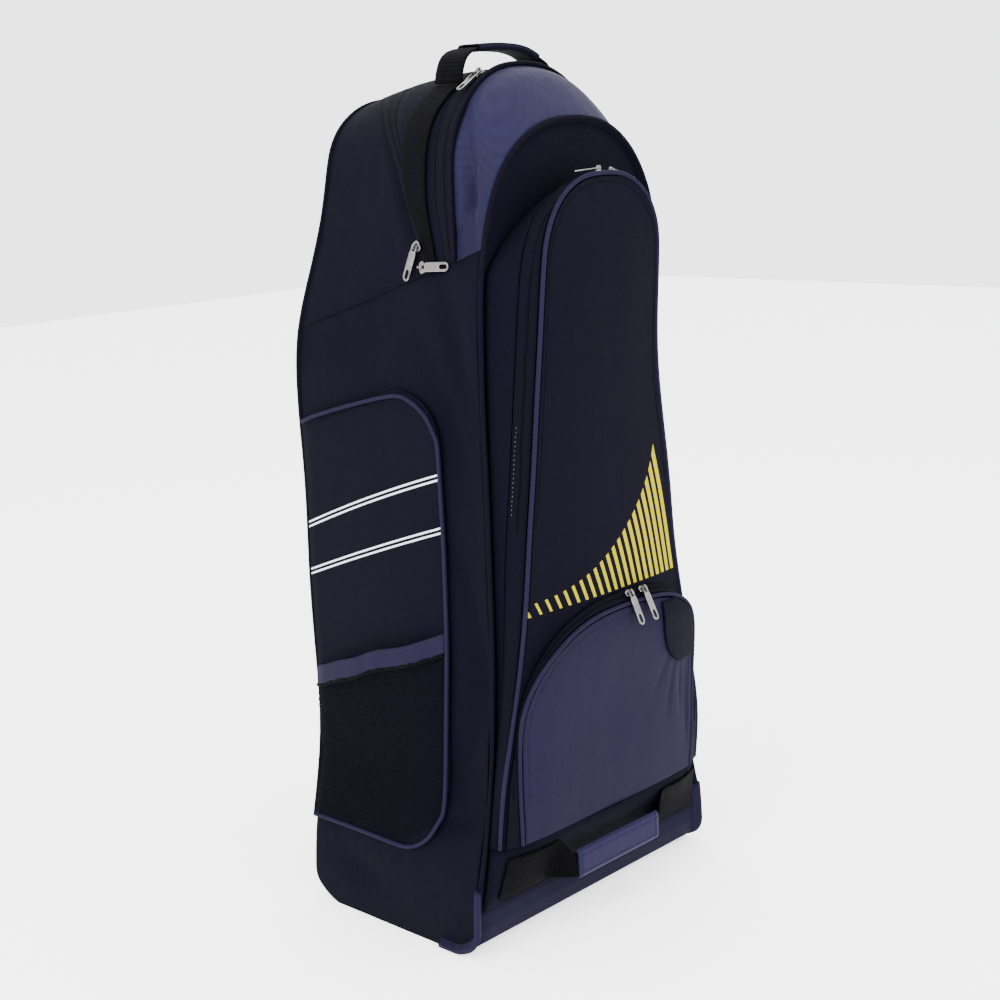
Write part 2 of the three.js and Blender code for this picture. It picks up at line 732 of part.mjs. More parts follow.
const gripHalf = bottomGripLength / 2;
function bottomStrap(across, height) {
  const guess = (across - 0.5) * 2 * bandHalf(bottomGripLevel);
  const free = 1 - smooth(Math.abs(guess), gripHalf + 2 * cloth, gripHalf + bottomGripLift);
  const sewnLevel = (bootFrontHeight + pocketBottom) / 2 + 1;
  const level = lerp(sewnLevel, bottomGripLevel, free);
  const width = lerp(bandStrapWidth, bottomGripHeight - 4 * cloth, free);
  const z = level + (height - 0.5) * width;
  const low = bootFrontHeight + seamGap;
  const rise = clamp((z - low) / (pocketBottom - low), 0, 1);
  const lift = cloth / 2 + webbing / 2 + panelGap * 1.5;
  const place = bandSurface(across, rise).addScaledVector(facing(bandSurface, across, rise), lift);
  const outY = bandY(0, level) - bottomGripLift;
  return place.lerp(new THREE.Vector3(guess, outY, z), free);
}
const bottomStrapSurface = (u, v) => bottomStrap(lerp(1, bandColumns - 1, u) / bandColumns, v);
addPiece('bottom_handle_webbing', sheet(bottomStrapSurface, bandColumns - 2, 1, webbing), strapBlack);

// A cloth wrap folded round a strap, with its open seam at the underside or the rear.
function wrapSurface(place, width, thickness) {
  return (u, v) => {
    const angle = lerp(0.12, 2 * Math.PI - 0.12, v);
    const wide = Math.sign(Math.cos(angle)) * Math.abs(Math.cos(angle)) ** 0.5 * width / 2;
    const deep = Math.sign(Math.sin(angle)) * Math.abs(Math.sin(angle)) ** 0.7 * thickness / 2;
    return place(u, wide, deep);
  };
}
const bottomWrap = wrapSurface((u, wide, deep) => {
  const x = lerp(-gripHalf, gripHalf, u) * 0.99;
  const middle = bottomStrap(0.5 + x / (2 * bandHalf(bottomGripLevel)), 0.5);
  return middle.add(new THREE.Vector3(0, -deep, -wide));
}, bottomGripHeight - cloth, bottomGripThickness - cloth);
addPiece('bottom_handle_wrap', sheet(bottomWrap, 5, 10, cloth * 0.75), grey);

// Webbing straps from the handle feet down to where the zips meet.
const strapLift = webbing / 2 + layGap;
function crownStrap(side, footX) {
  const startTurn = turnAcross(footX, topHandleY);
  return (u, v) => {
    const centre = depthAt(readTable(CROWN_STRAP, 'along', 'centre', u));
    const width = webbingWidth * readTable(CROWN_STRAP, 'along', 'width', u);
    const y = centre + (v - 0.5) * width;
    const endTurn = turnAt(seamHeightAt(centre) + webbingWidth * 0.2, centre);
    return archPoint(side * lerp(startTurn, endTurn, u), y, -strapLift);
  };
}
addPiece('top_webbing_left', sheet(crownStrap(-1, topHandleLeft), 12, 2, webbing), strapBlack);
addPiece('top_webbing_right', sheet(crownStrap(1, topHandleRight), 12, 2, webbing), strapBlack);

// Top handle: webbing that rises from both feet, and the grey wrap round its middle.
const HANDLE_LINE = [
  { across: 0, rise: 0 },
  { across: 0.015, rise: 0.3 },
  { across: 0.07, rise: 0.72 },
  { across: 0.17, rise: 0.93 },
  { across: 0.33, rise: 0.99 },
  { across: 0.5, rise: 1 },
  { across: 0.7, rise: 0.94 },
  { across: 0.87, rise: 0.74 },
  { across: 0.965, rise: 0.4 },
  { across: 1, rise: 0 },
];
const handleLift = strapLift + webbing / 2 + layGap;
const handleFootZ = (x) => archPoint(turnAcross(x, topHandleY), topHandleY, -handleLift).z;
const handlePoints = HANDLE_LINE.map((row) => {
  const x = lerp(topHandleLeft, topHandleRight, row.across);
  const foot = lerp(handleFootZ(topHandleLeft), handleFootZ(topHandleRight), row.across);
  return new THREE.Vector3(x, topHandleY, lerp(foot, topHandleHeight - topGripThickness / 2, row.rise));
});
const handleCurve = new THREE.CatmullRomCurve3(handlePoints, false, 'centripetal');
const gripShare = topGripLength / handleCurve.getLength() / 2;
const gripMiddle = 0.52;
const handleSurface = (u, v) => {
  const point = handleCurve.getPointAt(u);
  const past = Math.abs(u - gripMiddle);
  const width = lerp(topGripWidth - 3 * cloth, webbingWidth, smooth(past, gripShare, gripShare + 0.06));
  point.y += (v - 0.5) * width;
  return point;
};
addPiece('top_handle_webbing', sheet(handleSurface, 28, 1, webbing), strapBlack, false);
const topWrap = wrapSurface((u, wide, deep) => {
  const at = lerp(gripMiddle - gripShare, gripMiddle + gripShare, u);
  const point = handleCurve.getPointAt(at);
  const along = handleCurve.getTangentAt(at);
  const up = new THREE.Vector3(-along.z, 0, along.x);
  point.y += wide;
  return point.addScaledVector(up, deep);
}, topGripWidth - cloth, topGripThickness - cloth);
addPiece('top_handle_wrap', sheet(topWrap, 8, 10, cloth * 0.75), grey, false);

// Side pockets: a flat panel framed by grey piping, with a mesh pouch over its lower part.
const sidePocketBack = halfDepth - 1;
function pocketTopAt(y) {
  const back = clamp((y - sidePocketFront) / (sidePocketBack - sidePocketFront), 0, 1);
  return sidePocketTop - sidePocketDrop * back ** 1.6;
}
function sidePocketStations(side, lift, inset) {
  const front = sidePocketFront + inset;
  const corner = sidePocketCorner - inset;
  const low = sidePocketBottom + inset;
  const places = [];
  const bends = 5;
  for (let index = 0; index <= 4; index += 1) {
    const y = lerp(sidePocketBack, front + corner, index / 4);
    places.push([y, pocketTopAt(y) - inset]);
  }
  const shoulder = pocketTopAt(front + corner) - inset - corner;
  for (let index = 1; index <= bends; index += 1) {
    const angle = (index / bends) * Math.PI / 2;
    places.push([front + corner - corner * Math.sin(angle), shoulder + corner * Math.cos(angle)]);
  }
  for (let index = 1; index <= 5; index += 1) {
    places.push([front, lerp(shoulder, low + corner, index / 5)]);
  }
  for (let index = 1; index <= bends; index += 1) {
    const angle = (index / bends) * Math.PI / 2;
    places.push([front + corner - corner * Math.cos(angle), low + corner - corner * Math.sin(angle)]);
  }
  for (let index = 1; index <= 4; index += 1) {
    places.push([lerp(front + corner, sidePocketBack, index / 4), low]);
  }
  return places.map(([y, z]) => sidePlace(side, y, z, lift));
}

// The front border of the pocket at a height, rounded at both corners.
function pocketFrontAt(z, inset) {
  const corner = sidePocketCorner - inset;
  const front = sidePocketFront + inset;
  const shoulder = pocketTopAt(sidePocketFront) - inset - corner;
  const low = sidePocketBottom + sidePocketCorner;
  const past = clamp(Math.max(z - shoulder, low - z) / corner, 0, 0.999);
  return front + corner * (1 - Math.sqrt(1 - past * past));
}
const panelLift = panelGap * 1.2 + cloth / 2;
function sidePocketPanel(side) {
  return (u, v) => {
    const guess = lerp(sidePocketFront, sidePocketBack, u);
    const level = 0.5 - 0.5 * Math.cos(Math.PI * v);
    const z = lerp(sidePocketBottom, pocketTopAt(guess), level);
    const y = lerp(pocketFrontAt(z, 0), sidePocketBack, u);
    return sidePlace(side, y, z, panelLift);
  };
}
const meshInset = sidePipingRadius + layGap;
const mouthAt = (y) => lerp(meshMouthFront, meshMouthBack,
  (y - sidePocketFront) / (sidePocketBack - sidePocketFront));
const meshBase = panelLift + cloth / 2 + panelGap + meshThickness / 2;
function meshPlace(side, u, z, extra) {
  const y = lerp(pocketFrontAt(z, meshInset) + meshInset * 0.5, sidePocketBack - seamGap, u);
  const rise = clamp((z - sidePocketBottom) / (mouthAt(y) - sidePocketBottom), 0, 1);
  const puff = Math.sin(Math.PI * clamp(u, 0, 1)) ** 0.6 * Math.sin(rise * Math.PI / 2) ** 0.7;
  return sidePlace(side, y, z, meshBase + meshStandOff * puff + extra);
}
function meshSurface(side) {
  return (u, v) => {
    const guess = lerp(sidePocketFront, sidePocketBack, u);
    const z = lerp(sidePocketBottom + meshInset, mouthAt(guess) - meshBindingHeight / 2, v);
    return meshPlace(side, u, z, 0);
  };
}
// The grey binding is folded over the mouth edge of the mesh.
function bindingSurface(side) {
  return (u, v) => {
    const guess = lerp(sidePocketFront, sidePocketBack, u);
    const z = mouthAt(guess) - meshBindingHeight * (1 - v);
    return meshPlace(side, u, z, cloth / 2 + meshThickness / 2 + seamGap);
  };
}
const sidePipingLift = panelLift + cloth / 2 + layGap + sidePipingRadius;
const bindingFoot = 22;
for (const [name, side] of [['left', -1], ['right', 1]]) {
  addPiece(`side_panel_${name}`, sheet(sidePanel(side), 7, 16), black);
  addPiece(`side_pocket_panel_${name}`, sheet(sidePocketPanel(side), 5, 12), black);
  addPiece(`side_mesh_${name}`, sheet(meshSurface(side), 5, 8, meshThickness), net);
  addPiece(`mesh_binding_${name}`, sheet(bindingSurface(side), 8, 1), grey);
  const frame = sidePocketStations(side, sidePipingLift, 0);
  addPiece(`piping_side_pocket_${name}`, piping(frame, sidePipingRadius), grey);

  // Thick grey binding round the lower front corner of the side panel.
  const hold = (bindingRadius + seamGap) * Math.SQRT1_2;
  const corner = [[-halfDepth - hold, bindingTop, hold]];
  corner.push([-halfDepth - hold, lerp(bindingTop, frontCornerRadius, 0.5), hold]);
  for (let index = 0; index <= 8; index += 1) {
    const angle = (index / 8) * Math.PI / 2;
    const under = smooth(index / 8, 0, 0.75);
    const bend = frontCornerRadius + lerp(hold, -bindingRadius, under);
    const y = -halfDepth + frontCornerRadius - bend * Math.cos(angle);
    const aside = lerp(hold, bindingRadius + seamGap, smooth(under, 0, 0.5));
    corner.push([y, frontCornerRadius - bend * Math.sin(angle), aside]);
  }
  corner.push([-halfDepth + frontCornerRadius + bindingFoot, bindingRadius, bindingRadius + seamGap]);
  const cornerPoints = corner.map(([y, z, aside]) => {
    const x = side * (halfWidthAt(Math.max(z, 0)) + aside);
    return new THREE.Vector3(x, y, z);
  });
  addPiece(`binding_base_${name}`, piping(cornerPoints, bindingRadius), grey);
}

// Zip sliders: a flat body with a bridge that the pull tab hangs in. In its own frame a slider
// lies in the XY plane, its zip runs along X and its hinge axis is Y.
function toSolid(geometry) {
  geometry.deleteAttribute('normal');
  geometry.deleteAttribute('uv');
  const merged = mergeVertices(geometry, 1e-5);
  return new wasm.Manifold(new wasm.Mesh({
    numProp: 3,
    vertProperties: merged.attributes.position.array,
    triVerts: new Uint32Array(merged.index.array),
  }));
}
function toGeometry(solid) {
  const result = solid.getMesh();
  const geometry = new THREE.BufferGeometry();
  geometry.setAttribute('position', new THREE.BufferAttribute(result.vertProperties, 3));
  geometry.setIndex(new THREE.BufferAttribute(result.triVerts, 1));
  return geometry;
}
const hingeHeight = sliderBase + bridgeHole / 2 + 1;
function makeSlider(bridgeTurn) {
  const outline = new THREE.Shape();
  const half = sliderLength / 2;
  outline.moveTo(-half, -sliderWidth * 0.26);
  outline.lineTo(-half * 0.4, -sliderWidth / 2);
  outline.lineTo(half * 0.7, -sliderWidth / 2);
  outline.lineTo(half, -sliderWidth * 0.3);
  outline.lineTo(half, sliderWidth * 0.3);
  outline.lineTo(half * 0.7, sliderWidth / 2);
  outline.lineTo(-half * 0.4, sliderWidth / 2);
  outline.lineTo(-half, sliderWidth * 0.26);
  outline.closePath();
  const body = new THREE.ExtrudeGeometry(outline, { depth: sliderBase, bevelEnabled: false });
  const arch = new THREE.Shape();
  const reach = bridgeLength / 2;
  const top = hingeHeight + bridgeHole / 2 + bridgeWall;
  arch.moveTo(-reach, sliderBase - 0.5);
  arch.lineTo(reach, sliderBase - 0.5);
  arch.lineTo(reach, top - 1);
  arch.lineTo(reach - 1, top);
  arch.lineTo(1 - reach, top);
  arch.lineTo(-reach, top - 1);
  arch.closePath();
  const eye = new THREE.Path();
  eye.absarc(0, hingeHeight, bridgeHole / 2, 0, 2 * Math.PI, true);
  arch.holes.push(eye);
  const bridge = new THREE.ExtrudeGeometry(arch, {
    depth: bridgeWidth, bevelEnabled: false, curveSegments: 4,
  });
  bridge.translate(0, 0, -bridgeWidth / 2);
  bridge.rotateX(Math.PI / 2);
  bridge.rotateZ(bridgeTurn);
  return toGeometry(toSolid(body).add(toSolid(bridge)));
}

// A pull tab: its eye bar lies on the hinge axis, and the tab runs along +X.
function makePull() {
  const outline = new THREE.Shape();
  const bar = pullBar / 2;
  const end = pullLength - pullWidth / 2;
  outline.moveTo(-bar, -pullEyeWidth / 2);
  outline.lineTo(pullEyeLength, -pullEyeWidth / 2);
  outline.lineTo(pullEyeLength + 3, -pullWidth / 2);
  outline.absarc(end, 0, pullWidth / 2, -Math.PI / 2, Math.PI / 2, false);
  outline.lineTo(pullEyeLength + 3, pullWidth / 2);
  outline.lineTo(pullEyeLength, pullEyeWidth / 2);
  outline.lineTo(-bar, pullEyeWidth / 2);
  outline.closePath();
  const eye = new THREE.Path();
  const eyeHalf = pullEyeWidth / 2 - 1.6;
  eye.moveTo(bar, -eyeHalf);
  eye.lineTo(bar, eyeHalf);
  eye.lineTo(pullEyeLength, eyeHalf);
  eye.lineTo(pullEyeLength, -eyeHalf);
  eye.closePath();
  outline.holes.push(eye);
  const slot = new THREE.Path();
  const slotRadius = pullSlotWidth / 2;
  const slotEnd = end + 0.4;
  slot.absarc(slotEnd, 0, slotRadius, Math.PI / 2, -Math.PI / 2, true);
  slot.absarc(slotEnd - pullSlotLength + pullSlotWidth, 0, slotRadius, -Math.PI / 2, Math.PI / 2, true);
  slot.closePath();
  outline.holes.push(slot);
  const tab = new THREE.ExtrudeGeometry(outline, {
    depth: pullThickness, bevelEnabled: false, curveSegments: 4,
  });
  tab.translate(0, 0, -pullThickness / 2);
  return tab;
}

// Puts one slider and its pull on a zip. The slider stands on a surface spot with its zip's way
// and the outward normal there. The tab lies towards lay, tipped to the cloth by droop degrees,
// and the bridge is turned to it, so that its hinge axis lies across the tab.
function addZipEnd(name, spot, lay, droop) {
  const out = spot.normal.clone().normalize();
  const flatten = (way) => way.clone().addScaledVector(out, -way.dot(out)).normalize();
  const run = flatten(spot.way);
  const across = out.clone().cross(run);
  const tabRun = flatten(lay);
  const axis = out.clone().cross(tabRun);
  const settled = settle(spot.point.clone());
  const bridgeTurn = Math.atan2(tabRun.dot(across), tabRun.dot(run));
  const slider = addPiece(`zip_slider_${name}`, makeSlider(bridgeTurn), nickel, false);
  slider.applyMatrix4(new THREE.Matrix4().makeBasis(run, across, out).setPosition(settled));
  const pull = addPiece(`zip_pull_${name}`, makePull(), nickel, false);
  const tip = new THREE.Matrix4().makeRotationY(THREE.MathUtils.degToRad(droop));
  const hinge = settled.clone().addScaledVector(out, hingeHeight);
  pull.applyMatrix4(new THREE.Matrix4().makeBasis(tabRun, axis, out).setPosition(hinge).multiply(tip));
}

const vector = (x, y, z) => new THREE.Vector3(x, y, z);
const surfaceStand = cloth / 2 + sliderGap;

// On a strip between two borders: a point on its outside, and the directions there.
function stripPlace(surface, u, v, outwardHint, stand = surfaceStand) {
  const normal = facing(surface, u, v);
  if (normal.dot(outwardHint) < 0) {
    normal.negate();
  }
  const point = surface(u, v).addScaledVector(normal, stand);
  const way = surface(Math.min(u + 0.01, 1), v).sub(surface(Math.max(u - 0.01, 0), v)).normalize();
  return { point, normal, way };
}

const topEnd = stripPlace(crownPiece(crescentLine, frontZipLine), 0.4, 0.5, vector(0, 0, 1));
addZipEnd('top', topEnd, topEnd.way.clone().negate(), 7);
const frontLeft = stripPlace(frontZipSurface, 0.508, 0.5, vector(0, 0, 1));
addZipEnd('front_left', frontLeft, frontLeft.way.clone().negate(), 5);
const frontRight = stripPlace(frontZipSurface, 0.535, 0.5, vector(0, 0, 1));
addZipEnd('front_right', frontRight, frontRight.way, 5);
const lowerStand = surfaceStand - lowerSliderSeat;
const lowerLeft = stripPlace(lowerZipSurface, 0.507, 0.5, vector(0, 0, 1), lowerStand);
addZipEnd('lower_left', lowerLeft, vector(0, -0.7, -0.7), 17);
const lowerRight = stripPlace(lowerZipSurface, 0.522, 0.5, vector(0, 0, 1), lowerStand);
addZipEnd('lower_right', lowerRight, vector(0, -0.7, -0.7), 17);

// A spot on a crown seam of the left side, and the way that the seam runs there.
function crownSpot(along, column, back) {
  const placeAt = (share) => {
    const y = depthAt(readTable(CROWN_SEAMS, 'along', column, share)) + back;
    return archPoint(-share * turnAt(seamHeightAt(y), y), y, -seamGap - sliderGap);
  };
  const point = placeAt(along);
  const way = placeAt(along + 0.02).sub(placeAt(along - 0.02)).normalize();
  const normal = vector(point.x, 0, (point.z - shoulderHeight) * 0.6).normalize();
  return { point, normal, way };
}
addZipEnd('rear', crownSpot(0.92, 'hood', -1), vector(0, 0.3, -0.95), 5);
addZipEnd('side', crownSpot(0.98, 'rearZip', 8), vector(0, -1, 0.05), 5);

export default bag;
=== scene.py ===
import math

import bmesh
import bpy
from mathutils import Matrix, Vector, noise
from mathutils.bvhtree import BVHTree


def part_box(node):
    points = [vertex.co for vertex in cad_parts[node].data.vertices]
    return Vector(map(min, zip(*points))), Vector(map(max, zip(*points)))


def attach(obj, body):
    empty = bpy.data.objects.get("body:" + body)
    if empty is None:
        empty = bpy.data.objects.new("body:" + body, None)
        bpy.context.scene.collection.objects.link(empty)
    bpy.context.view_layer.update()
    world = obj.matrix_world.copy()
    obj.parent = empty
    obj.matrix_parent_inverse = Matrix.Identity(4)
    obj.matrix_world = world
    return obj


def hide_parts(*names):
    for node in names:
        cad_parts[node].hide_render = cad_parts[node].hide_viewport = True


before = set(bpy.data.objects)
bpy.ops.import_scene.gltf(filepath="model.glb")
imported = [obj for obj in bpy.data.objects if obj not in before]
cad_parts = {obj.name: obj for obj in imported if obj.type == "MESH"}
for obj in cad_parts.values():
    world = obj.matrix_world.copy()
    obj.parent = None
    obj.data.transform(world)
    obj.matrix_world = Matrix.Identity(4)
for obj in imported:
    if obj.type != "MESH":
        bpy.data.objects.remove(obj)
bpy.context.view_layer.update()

# Camera and light: the bag stands on a plain pale floor, seen from the front left at the
# height of its shoulders, in the soft even light of a product studio.
camera_place = Vector((-1.337, -1.282, 0.852))
camera_yaw, camera_pitch, camera_roll = (math.radians(a) for a in (46.37, -12.53, -2.57))
ahead = Vector((
    math.sin(camera_yaw) * math.cos(camera_pitch),
    math.cos(camera_yaw) * math.cos(camera_pitch),
    math.sin(camera_pitch),
))
level = Vector((math.cos(camera_yaw), -math.sin(camera_yaw), 0))
upward = level.cross(ahead)
right = level * math.cos(camera_roll) + upward * math.sin(camera_roll)
top = upward * math.cos(camera_roll) - level * math.sin(camera_roll)
camera_data = bpy.data.cameras.new("camera")
camera_data.lens = 61.2
camera_data.sensor_width = 36
camera_data.clip_end = 50
camera = bpy.data.objects.new("camera", camera_data)
bpy.context.collection.objects.link(camera)
camera_turn = Matrix((right, top, -ahead)).transposed().to_4x4()
camera.matrix_world = Matrix.Translation(camera_place) @ camera_turn
bpy.context.scene.camera = camera

world = bpy.data.worlds.new("studio")
bpy.context.scene.world = world
world.use_nodes = True
world.node_tree.nodes["Background"].inputs["Color"].default_value = (1, 1, 1, 1)
world.node_tree.nodes["Background"].inputs["Strength"].default_value = 3.3


def softbox(name, place, aim, size, power):
    data = bpy.data.lights.new(name, "AREA")
    data.shape = "RECTANGLE"
    data.size, data.size_y = size
    data.energy = power
    lamp = bpy.data.objects.new(name, data)
    bpy.context.collection.objects.link(lamp)
    lamp.location = place
    lamp.rotation_euler = (Vector(aim) - Vector(place)).to_track_quat("-Z", "Y").to_euler()


softbox("key_light", (0.5, -2.9, 2.2), (0, 0, 0.5), (1.8, 1.8), 70)
softbox("side_light", (-2.8, -0.4, 1.9), (0, 0, 0.5), (1.4, 1.8), 130)
softbox("top_light", (0.4, 0.2, 3.1), (0, 0, 0.6), (2.2, 2.2), 55)


# Body panels: black pack cloth, cut flat, sewn edge to edge and filled out by the padding
# behind it, so each panel is a smooth skin with shallow dents and a few slanting pulls.
class Socket:
    """A shader socket that adds its Math nodes as it is used in an expression."""

    def __init__(self, tree, socket):
        self.tree = tree
        self.socket = socket

    def _math(self, operation, *values):
        return node(self.tree, "ShaderNodeMath", {"operation": operation}, *values)

    def __add__(self, other):
        return self._math("ADD", self, other)

    def __radd__(self, other):
        return self._math("ADD", other, self)

    def __sub__(self, other):
        return self._math("SUBTRACT", self, other)

    def __rsub__(self, other):
        return self._math("SUBTRACT", other, self)

    def __mul__(self, other):
        return self._math("MULTIPLY", self, other)

    def __truediv__(self, other):
        return self._math("DIVIDE", self, other)

    def __pow__(self, other):
        return self._math("POWER", self, other)

    def __gt__(self, other):
        return self._math("GREATER_THAN", self, other)

    def __lt__(self, other):
        return self._math("LESS_THAN", self, other)

    def sin(self):
        return self._math("SINE", self)

    def abs(self):
        return self._math("ABSOLUTE", self)

    def fract(self):
        return self._math("FRACT", self)

    def clamp(self):
        return self._math("MAXIMUM", self._math("MINIMUM", self, 1), 0)


def node(tree, kind, settings, *values, output=0, **named):
    """Adds a node, sets it up, feeds its sockets in order or by name, and gives its output."""
    made = tree.nodes.new(kind)
    for key, value in settings.items():
        setattr(made, key, value)
    pairs = list(zip(range(len(values)), values))
    pairs += [(key.replace("_", " "), value) for key, value in named.items()]
    for key, value in pairs:
        if isinstance(value, Socket):
            tree.links.new(value.socket, made.inputs[key])
        elif value is not None:
            made.inputs[key].default_value = value
    return Socket(tree, made.outputs[output])


def new_material(name, preview):
    material = bpy.data.materials.new(name)
    material.use_nodes = True
    material.diffuse_color = (*preview, 1)
    return material, material.node_tree, material.node_tree.nodes["Principled BSDF"]


def feed(material, shader, **inputs):
    for key, value in inputs.items():
        socket = shader.inputs[key.replace("_", " ")]
        if isinstance(value, Socket):
            material.node_tree.links.new(value.socket, socket)
        else:
            socket.default_value = value


def place(tree):
    """Object coordinates and their three parts, in metres."""
    coordinates = node(tree, "ShaderNodeTexCoord", {}, output=3)
    split = tree.nodes.new("ShaderNodeSeparateXYZ")
    tree.links.new(coordinates.socket, split.inputs[0])
    return coordinates, [Socket(tree, split.outputs[index]) for index in range(3)]


def mottle(tree, coordinates, scale, detail, roughness):
    """Soft noise at a scale of so many features to the metre."""
    return node(tree, "ShaderNodeTexNoise", {}, Vector=coordinates, Scale=scale, Detail=detail,
                Roughness=roughness)


def colour_mix(tree, share, first, second):
    """A colour between two others, each of them a socket or three numbers."""
    made = tree.nodes.new("ShaderNodeMix")
    made.data_type = "RGBA"
    for index, value in ((0, share), (6, first), (7, second)):
        if isinstance(value, Socket):
            tree.links.new(value.socket, made.inputs[index])
        elif index == 0:
            made.inputs[index].default_value = value
        else:
            made.inputs[index].default_value = (*value, 1)
    return Socket(tree, made.outputs[2])


DYE_CLOUD, SLUB, CREASE = 8, 430, (34, 34, 9)  # features to the metre
WEAVE_DEPTH, SLUB_DEPTH, CREASE_DEPTH, RIB_DEPTH = 0.00016, 0.0003, 0.0042, 0.0008


def woven(name, dark, light, thread, sheen=0.0, roughness=0.8, twill=False, crease=1.0,
          ribs=None, prints_and_painted_shade=(), slot="black_cloth"):
    """Cloth on Object coordinates: threads by a fine weave, uneven dye and soft creases. Ribs add
    a webbing's cross ribs, with painted shade in the grooves between them, and prints and painted
    shade lay colours over the cloth by their masks."""
    material, tree, shader = new_material(name, dark)
    coordinates, (x, y, z) = place(tree)
    along = x * 0.82 + y * 0.57
    across = z + x * 0.12 - y * 0.1
    turn = 2 * math.pi / thread
    if twill:
        weave = ((along + across) * turn).sin() * 0.65
        weave = weave + ((across - along) * (turn * 0.5)).sin() * 0.35
    else:
        weave = (along * turn).sin() * (across * turn).sin()
    slub = mottle(tree, coordinates, SLUB, 2, 0.7)
    cloud = mottle(tree, coordinates, DYE_CLOUD, 4, 0.6)
    slanted = node(tree, "ShaderNodeMapping", {}, coordinates, None, (0.5, 0.3, -0.35), CREASE)
    fold = mottle(tree, slanted, 1, 3, 0.5)
    share = (weave * 0.2 + slub * 0.5 + cloud * 0.35).clamp()
    colour = colour_mix(tree, share, dark, light)
    height = weave * WEAVE_DEPTH + slub * SLUB_DEPTH + fold * (CREASE_DEPTH * crease)
    if ribs:
        rib = ribs(tree, x, y, z)
        height = rib * RIB_DEPTH + height
        # Painted shade: the grooves between the ribs are painted towards the dark colour.
        colour = colour_mix(tree, (rib * 0.35 + 0.32).clamp(), dark, colour)
    # Each print or painted shade is laid over the cloth by its mask.
    for paint, mask in prints_and_painted_shade:
        colour = colour_mix(tree, mask(tree, x, y, z), colour, paint)
    bump = node(tree, "ShaderNodeBump", {}, Strength=0.7, Distance=1.0, Height=height)
    feed(material, shader, Base_Color=colour, Roughness=(cloud * 0.12 + (roughness - 0.06)).clamp(),
         Normal=bump)
    shader.inputs["Sheen Weight"].default_value = sheen
    shader.inputs["Sheen Roughness"].default_value = 0.4
    shader.inputs["Specular IOR Level"].default_value = 0.03
    return material


SAME_SPOT = 2e-5
FLAT_TO_FOLD, SQUARE_ENOUGH, CRISP_EDGE = 0.7, 1.3, 0.95  # angles, in radians
FIT_PASSES, FIT_SHARE = 3, 0.85


def placed(name, mesh):
    piece = bpy.data.objects.new(name, mesh)
    bpy.context.collection.objects.link(piece)
    return piece


def solid_copy(source):
    """The faces of a plain solid, with its doubled corners merged."""
    work = bmesh.new()
    work.from_mesh(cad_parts[source].data)
    bmesh.ops.remove_doubles(work, verts=work.verts, dist=SAME_SPOT)
    return work


def freed(work, mesh):
    work.to_mesh(mesh)
    work.free()


def skin(source, name, levels, material, dents=None, kind="CATMULL_CLARK", flange=0):
    """A smooth skin over a plain solid: its doubles merged, its triangles joined to quads and its
    rim kept crisp, then subdivided, dented and settled like its neighbours. The smooth surface
    is made to pass through the solid's own corners, so no seam opens."""
    work = solid_copy(source)
    bmesh.ops.join_triangles(work, faces=work.faces, angle_face_threshold=FLAT_TO_FOLD,
                             angle_shape_threshold=SQUARE_ENOUGH)
    crease = work.edges.layers.float.new("crease_edge")
    for edge in work.edges:
        if len(edge.link_faces) == 2 and edge.calc_face_angle() > CRISP_EDGE:
            edge[crease] = 1
    mesh = bpy.data.meshes.new(name)
    freed(work, mesh)
    piece = placed(name, mesh)
    smooth = piece.modifiers.new("smooth", "SUBSURF")
    smooth.levels = smooth.render_levels = levels
    smooth.subdivision_type = kind
    corners = [vertex.co.copy() for vertex in mesh.vertices]
    for _ in range(FIT_PASSES if kind == "CATMULL_CLARK" else 0):
        bpy.context.view_layer.update()
        shown = piece.evaluated_get(bpy.context.evaluated_depsgraph_get()).data
        misses = [corner - shown.vertices[index].co for index, corner in enumerate(corners)]
        for vertex, miss in zip(mesh.vertices, misses):
            vertex.co += miss * FIT_SHARE
        mesh.update()
    apply_modifiers(piece)
    for vertex in piece.data.vertices:
        vertex.co = slump(dents(vertex.co) if dents else vertex.co)
    if flange:
        add_flange(piece.data, flange)
    dress(piece, material)
    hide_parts(source)
    return piece


FLANGE_STEP = 0.0027
CORE_FOOT, CORE_HEAD = 0.1, 0.74


def add_flange(mesh, count):
    """The turned-in strip that a piping is sewn on by: the cord again, step by step inwards."""
    work = bmesh.new()
    work.from_mesh(mesh)
    cord = list(work.faces)
    for step in range(1, count + 1):
        made = bmesh.ops.duplicate(work, geom=cord)
        for vertex in (item for item in made["geom"] if isinstance(item, bmesh.types.BMVert)):
            core = Vector((0, 0, min(max(vertex.co.z, CORE_FOOT), CORE_HEAD)))
            vertex.co += (core - vertex.co).normalized() * (FLANGE_STEP * step)
    freed(work, mesh)


def apply_modifiers(piece):
    bpy.context.view_layer.update()
    graph = bpy.context.evaluated_depsgraph_get()
    mesh = bpy.data.meshes.new_from_object(piece.evaluated_get(graph))
    piece.modifiers.clear()
    piece.data = mesh


def dress(piece, material, body="bag"):
    piece.data.materials.clear()
    piece.data.materials.append(material)
    for face in piece.data.polygons:
        face.use_smooth = True
    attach(piece, body)


ZIP_ENDS = ("top", "front_left", "front_right", "lower_left", "lower_right", "rear", "side")
SLIDERS = [sum(map(Vector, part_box(f"zip_slider_{end}")), Vector()) / 2 for end in ZIP_ENDS]
HELD_ROUND_SLIDER = 0.035
SWELL, PULL = (0.0026, 0.0022), (0.0012, 0.001)  # sideways, forwards
UNEVENNESS_SEED = 7
noise.seed_set(UNEVENNESS_SEED)


